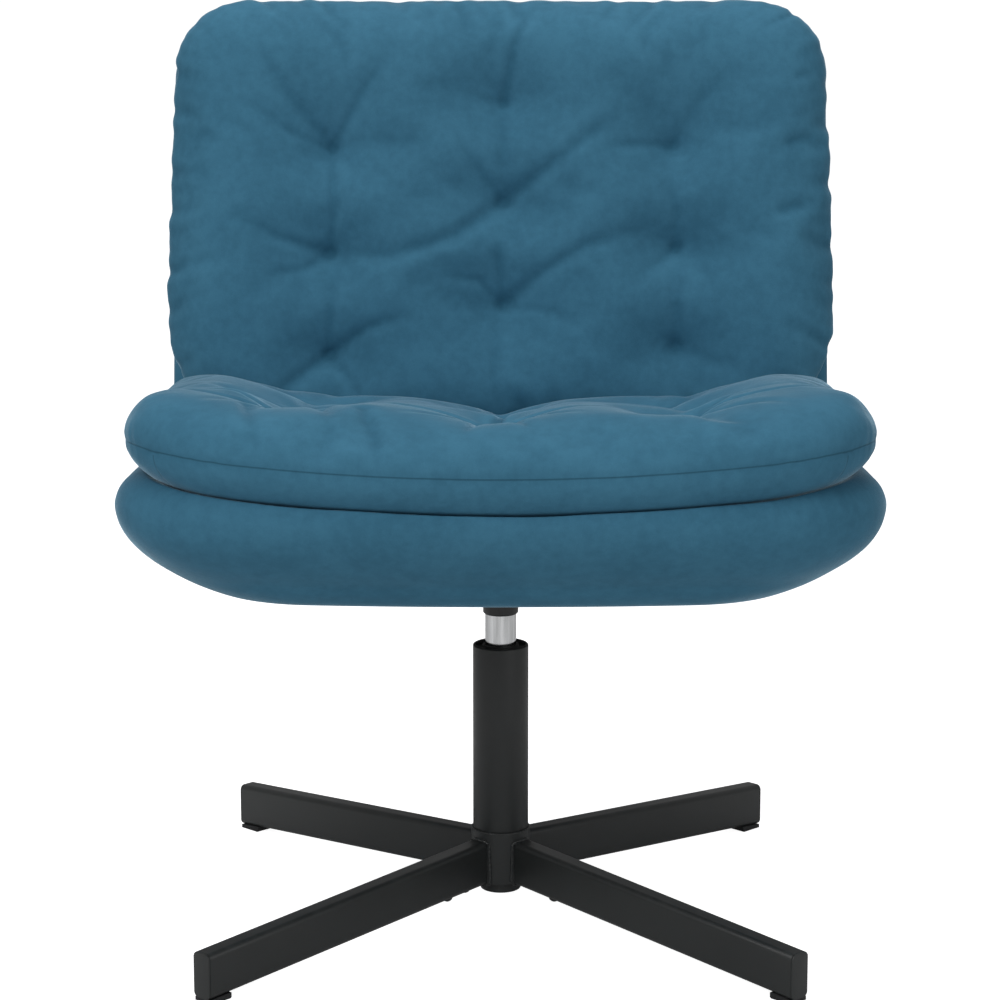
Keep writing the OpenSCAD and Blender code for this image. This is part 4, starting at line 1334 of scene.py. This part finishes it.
def back_pad(seat: Tilt, back: Tilt) -> BackPad:
    """The back pad with its nine tufts in three columns, and the creases that run between them."""
    left, mid, right = -159, 3, 163.5
    l1, l2, l3 = (left, 226.5), (left, 128), (left, 34)
    m1, m2, m3 = (mid, 269), (mid, 176), (mid, 80)
    r1, r2, r3 = (right, 229.5), (right, 133.5), (right, 40.5)
    folds = fold_table(
        (*l1, -196, 270, -232, 318, 5.5, 8),
        (*l1, -200, 240, -238, 266, 4.5, 5),
        (*l1, -133, 272, -113, 300, 6, 6),
        (*l1, -157, 190, *l2, 3.6, 6),
        (*l2, -207, 142, -252, 166, 5.5, 7),
        (*l2, -185, 112, -224, 108, 5, 6),
        (*l2, -155, 180, -153, 205, 3.6, 5),
        (*m2, -45, 142, -100, 124, *l2, 6, 9),
        (*m1, 13, 318, 26, 352, 4.5, 6),
        (*m1, -35, 274, 3.5, 5),
        (*m1, 4, 225, *m2, 1.6, 7),
        (*m2, -29, 215, -47, 238, 4.5, 7),
        (*m2, 55, 214, 103, 250, 130, 262, 6.5, 9),
        (*m3, 0, 105, -2, 140, 5, 6),
        (*m3, -20, 102, -60, 105, 4.5, 5),
        (*m3, 38, 108, 80, 134, 122, 144, 6, 8),
        (*m3, 35, 74, 70, 66, 3.5, 6),
        (*r1, 128, 228, 92, 226, 4.5, 6),
        (*r1, 193, 276, 224, 300, 2.6, 9),
        (*r2, 143, 114, 115, 98, 4.5, 7),
        (*r2, 165, 165, 166, 190, 3.5, 7),
        (*r3, 165, 72, 166, 96, 3, 7),
        (*r3, 205, 26, 250, 10, 3.2, 8),
        (*l3, -123, 58, -76, 70, 6, 7),
        (*l3, -159, 70, -158, 104, 2.6, 6),
        (*l3, -185, 14, -210, -4, 6, 7),
        (*l3, -140, 10, -128, -10, 5, 6),
        (262, 165, 300, 178, 3, 7),
        (272, 230, 308, 240, 3, 6),
        (280, 290, 306, 300, 2.5, 6),
    )
    return BackPad("back_pad", back, half_w=0.314, q_low=-0.045, q_high=0.371, thick=0.080, low_corner=0.115,
                   high_corner=0.074, edge=0.045, crown=0.004, tufts=in_metres(l1, l2, l3, m1, m2, m3, r1, r2, r3),
                   folds=folds, tuft_depth=0.025, tuft_spread=0.045, stands_for=("back_pad_cover", "back_pad_foam"),
                   fill=0.6, stuffing=Stuffing(voxel=0.005, ease=0.02), seat=seat)


def star(at: tuple, turn: float) -> tuple:
    """Four short folds that spread from a tuft at uneven angles, each a line of three points that bends a little."""
    folds = []
    for k, (spread, reach) in enumerate(((0.0, 0.046), (1.3, 0.034), (2.9, 0.050), (4.5, 0.038))):
        a, b = turn + spread, turn + spread + 0.25 * (-1) ** k
        mid = (at[0] + 0.5 * reach * math.cos(a), at[1] + 0.5 * reach * math.sin(a))
        end = (mid[0] + 0.5 * reach * math.cos(b), mid[1] + 0.5 * reach * math.sin(b))
        folds.append(Fold((at, mid, end), 0.0034, 0.006))
    return tuple(folds)


def seat_pad(seat: Tilt) -> SeatPad:
    """The seat pad with its nine tufts in three columns."""
    l1, m1, r1 = (-170, -185), (-6, -226), (146, -215)
    rear = in_metres(*((x, y) for x in (-162, -4, 152) for y in (-85, 12)))
    folds = fold_table(
        (*m1, -60, -222, -115, -205, -150, -195, 7, 6),
        (*m1, -40, -250, -85, -262, 5, 5),
        (*m1, 45, -220, 95, -205, 7, 6),
        (*m1, 38, -248, 70, -262, 5, 5),
        (*m1, -22, -265, -30, -300, 4.5, 6),
        (*m1, 14, -262, 30, -295, 4.5, 6),
        (*m1, 0, -190, 4, -150, 6, 6),
        (*l1, -182, -215, -190, -262, 5.5, 6),
        (*l1, -150, -215, -138, -270, -135, -315, 5, 8),
        (*l1, -215, -185, -262, -205, 6.5, 6),
        (*l1, -222, -150, -276, -160, 5, 6),
        (*l1, -205, -220, -245, -262, 4, 7),
        (*r1, 160, -245, 170, -285, 4.5, 7),
        (*r1, 185, -192, 240, -200, 268, -215, 6.5, 6),
        (*r1, 200, -160, 255, -140, 5, 6),
        (*r1, 195, -235, 238, -268, 4, 7),
        (-205, -250, -190, -330, 3, 9),
        (-110, -262, -92, -330, 3, 9),
    )
    for k, at in enumerate(rear):
        folds += star(at, 0.4 + 2.1 * k)
    return SeatPad("seat_pad", seat, half_w=0.310, q_low=-0.316, q_high=0.117, thick=0.066, low_corner=0.105,
                   high_corner=0.070, edge=0.038, crown=0.000, tufts=in_metres(l1, m1, r1) + rear, folds=folds,
                   tuft_depth=0.018, tuft_spread=0.034, stands_for=("seat_pad_cover", "seat_pad_foam"), fill=0.7,
                   seam_t=-0.003, seam_depth=0.0008, pucker=0.0, rim_hold=0.8, soft_share=0.75, crisp_share=0.60,
                   stuffing=Stuffing(pressure=2.5, ease=0.02))


def main() -> None:
    """Builds the chair's looks piece by piece and reports each."""
    logging.basicConfig(level=logging.INFO, format="%(message)s")
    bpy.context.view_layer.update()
    studio = Studio()
    studio.camera()
    build_effects()
    seat = seat_tilt()
    back = back_tilt(seat)
    lower_pad = seat_pad(seat)
    shells = [SeatShell(seat, lower_pad).build(), BackShell(back, seat).build()]
    pads = [lower_pad.build(), back_pad(seat, back).build()]
    for ob in shells + pads:
        VELVET.paint(ob)
        log.info("%s: %d points", ob.name, len(ob.data.vertices))
    HardParts().dress()
    for ob in (HubWelds().build(), CoverStaples(seat).build()):
        log.info("%s: %d points", ob.name, len(ob.data.vertices))
    studio.light()


if __name__ == "__main__":
    main()
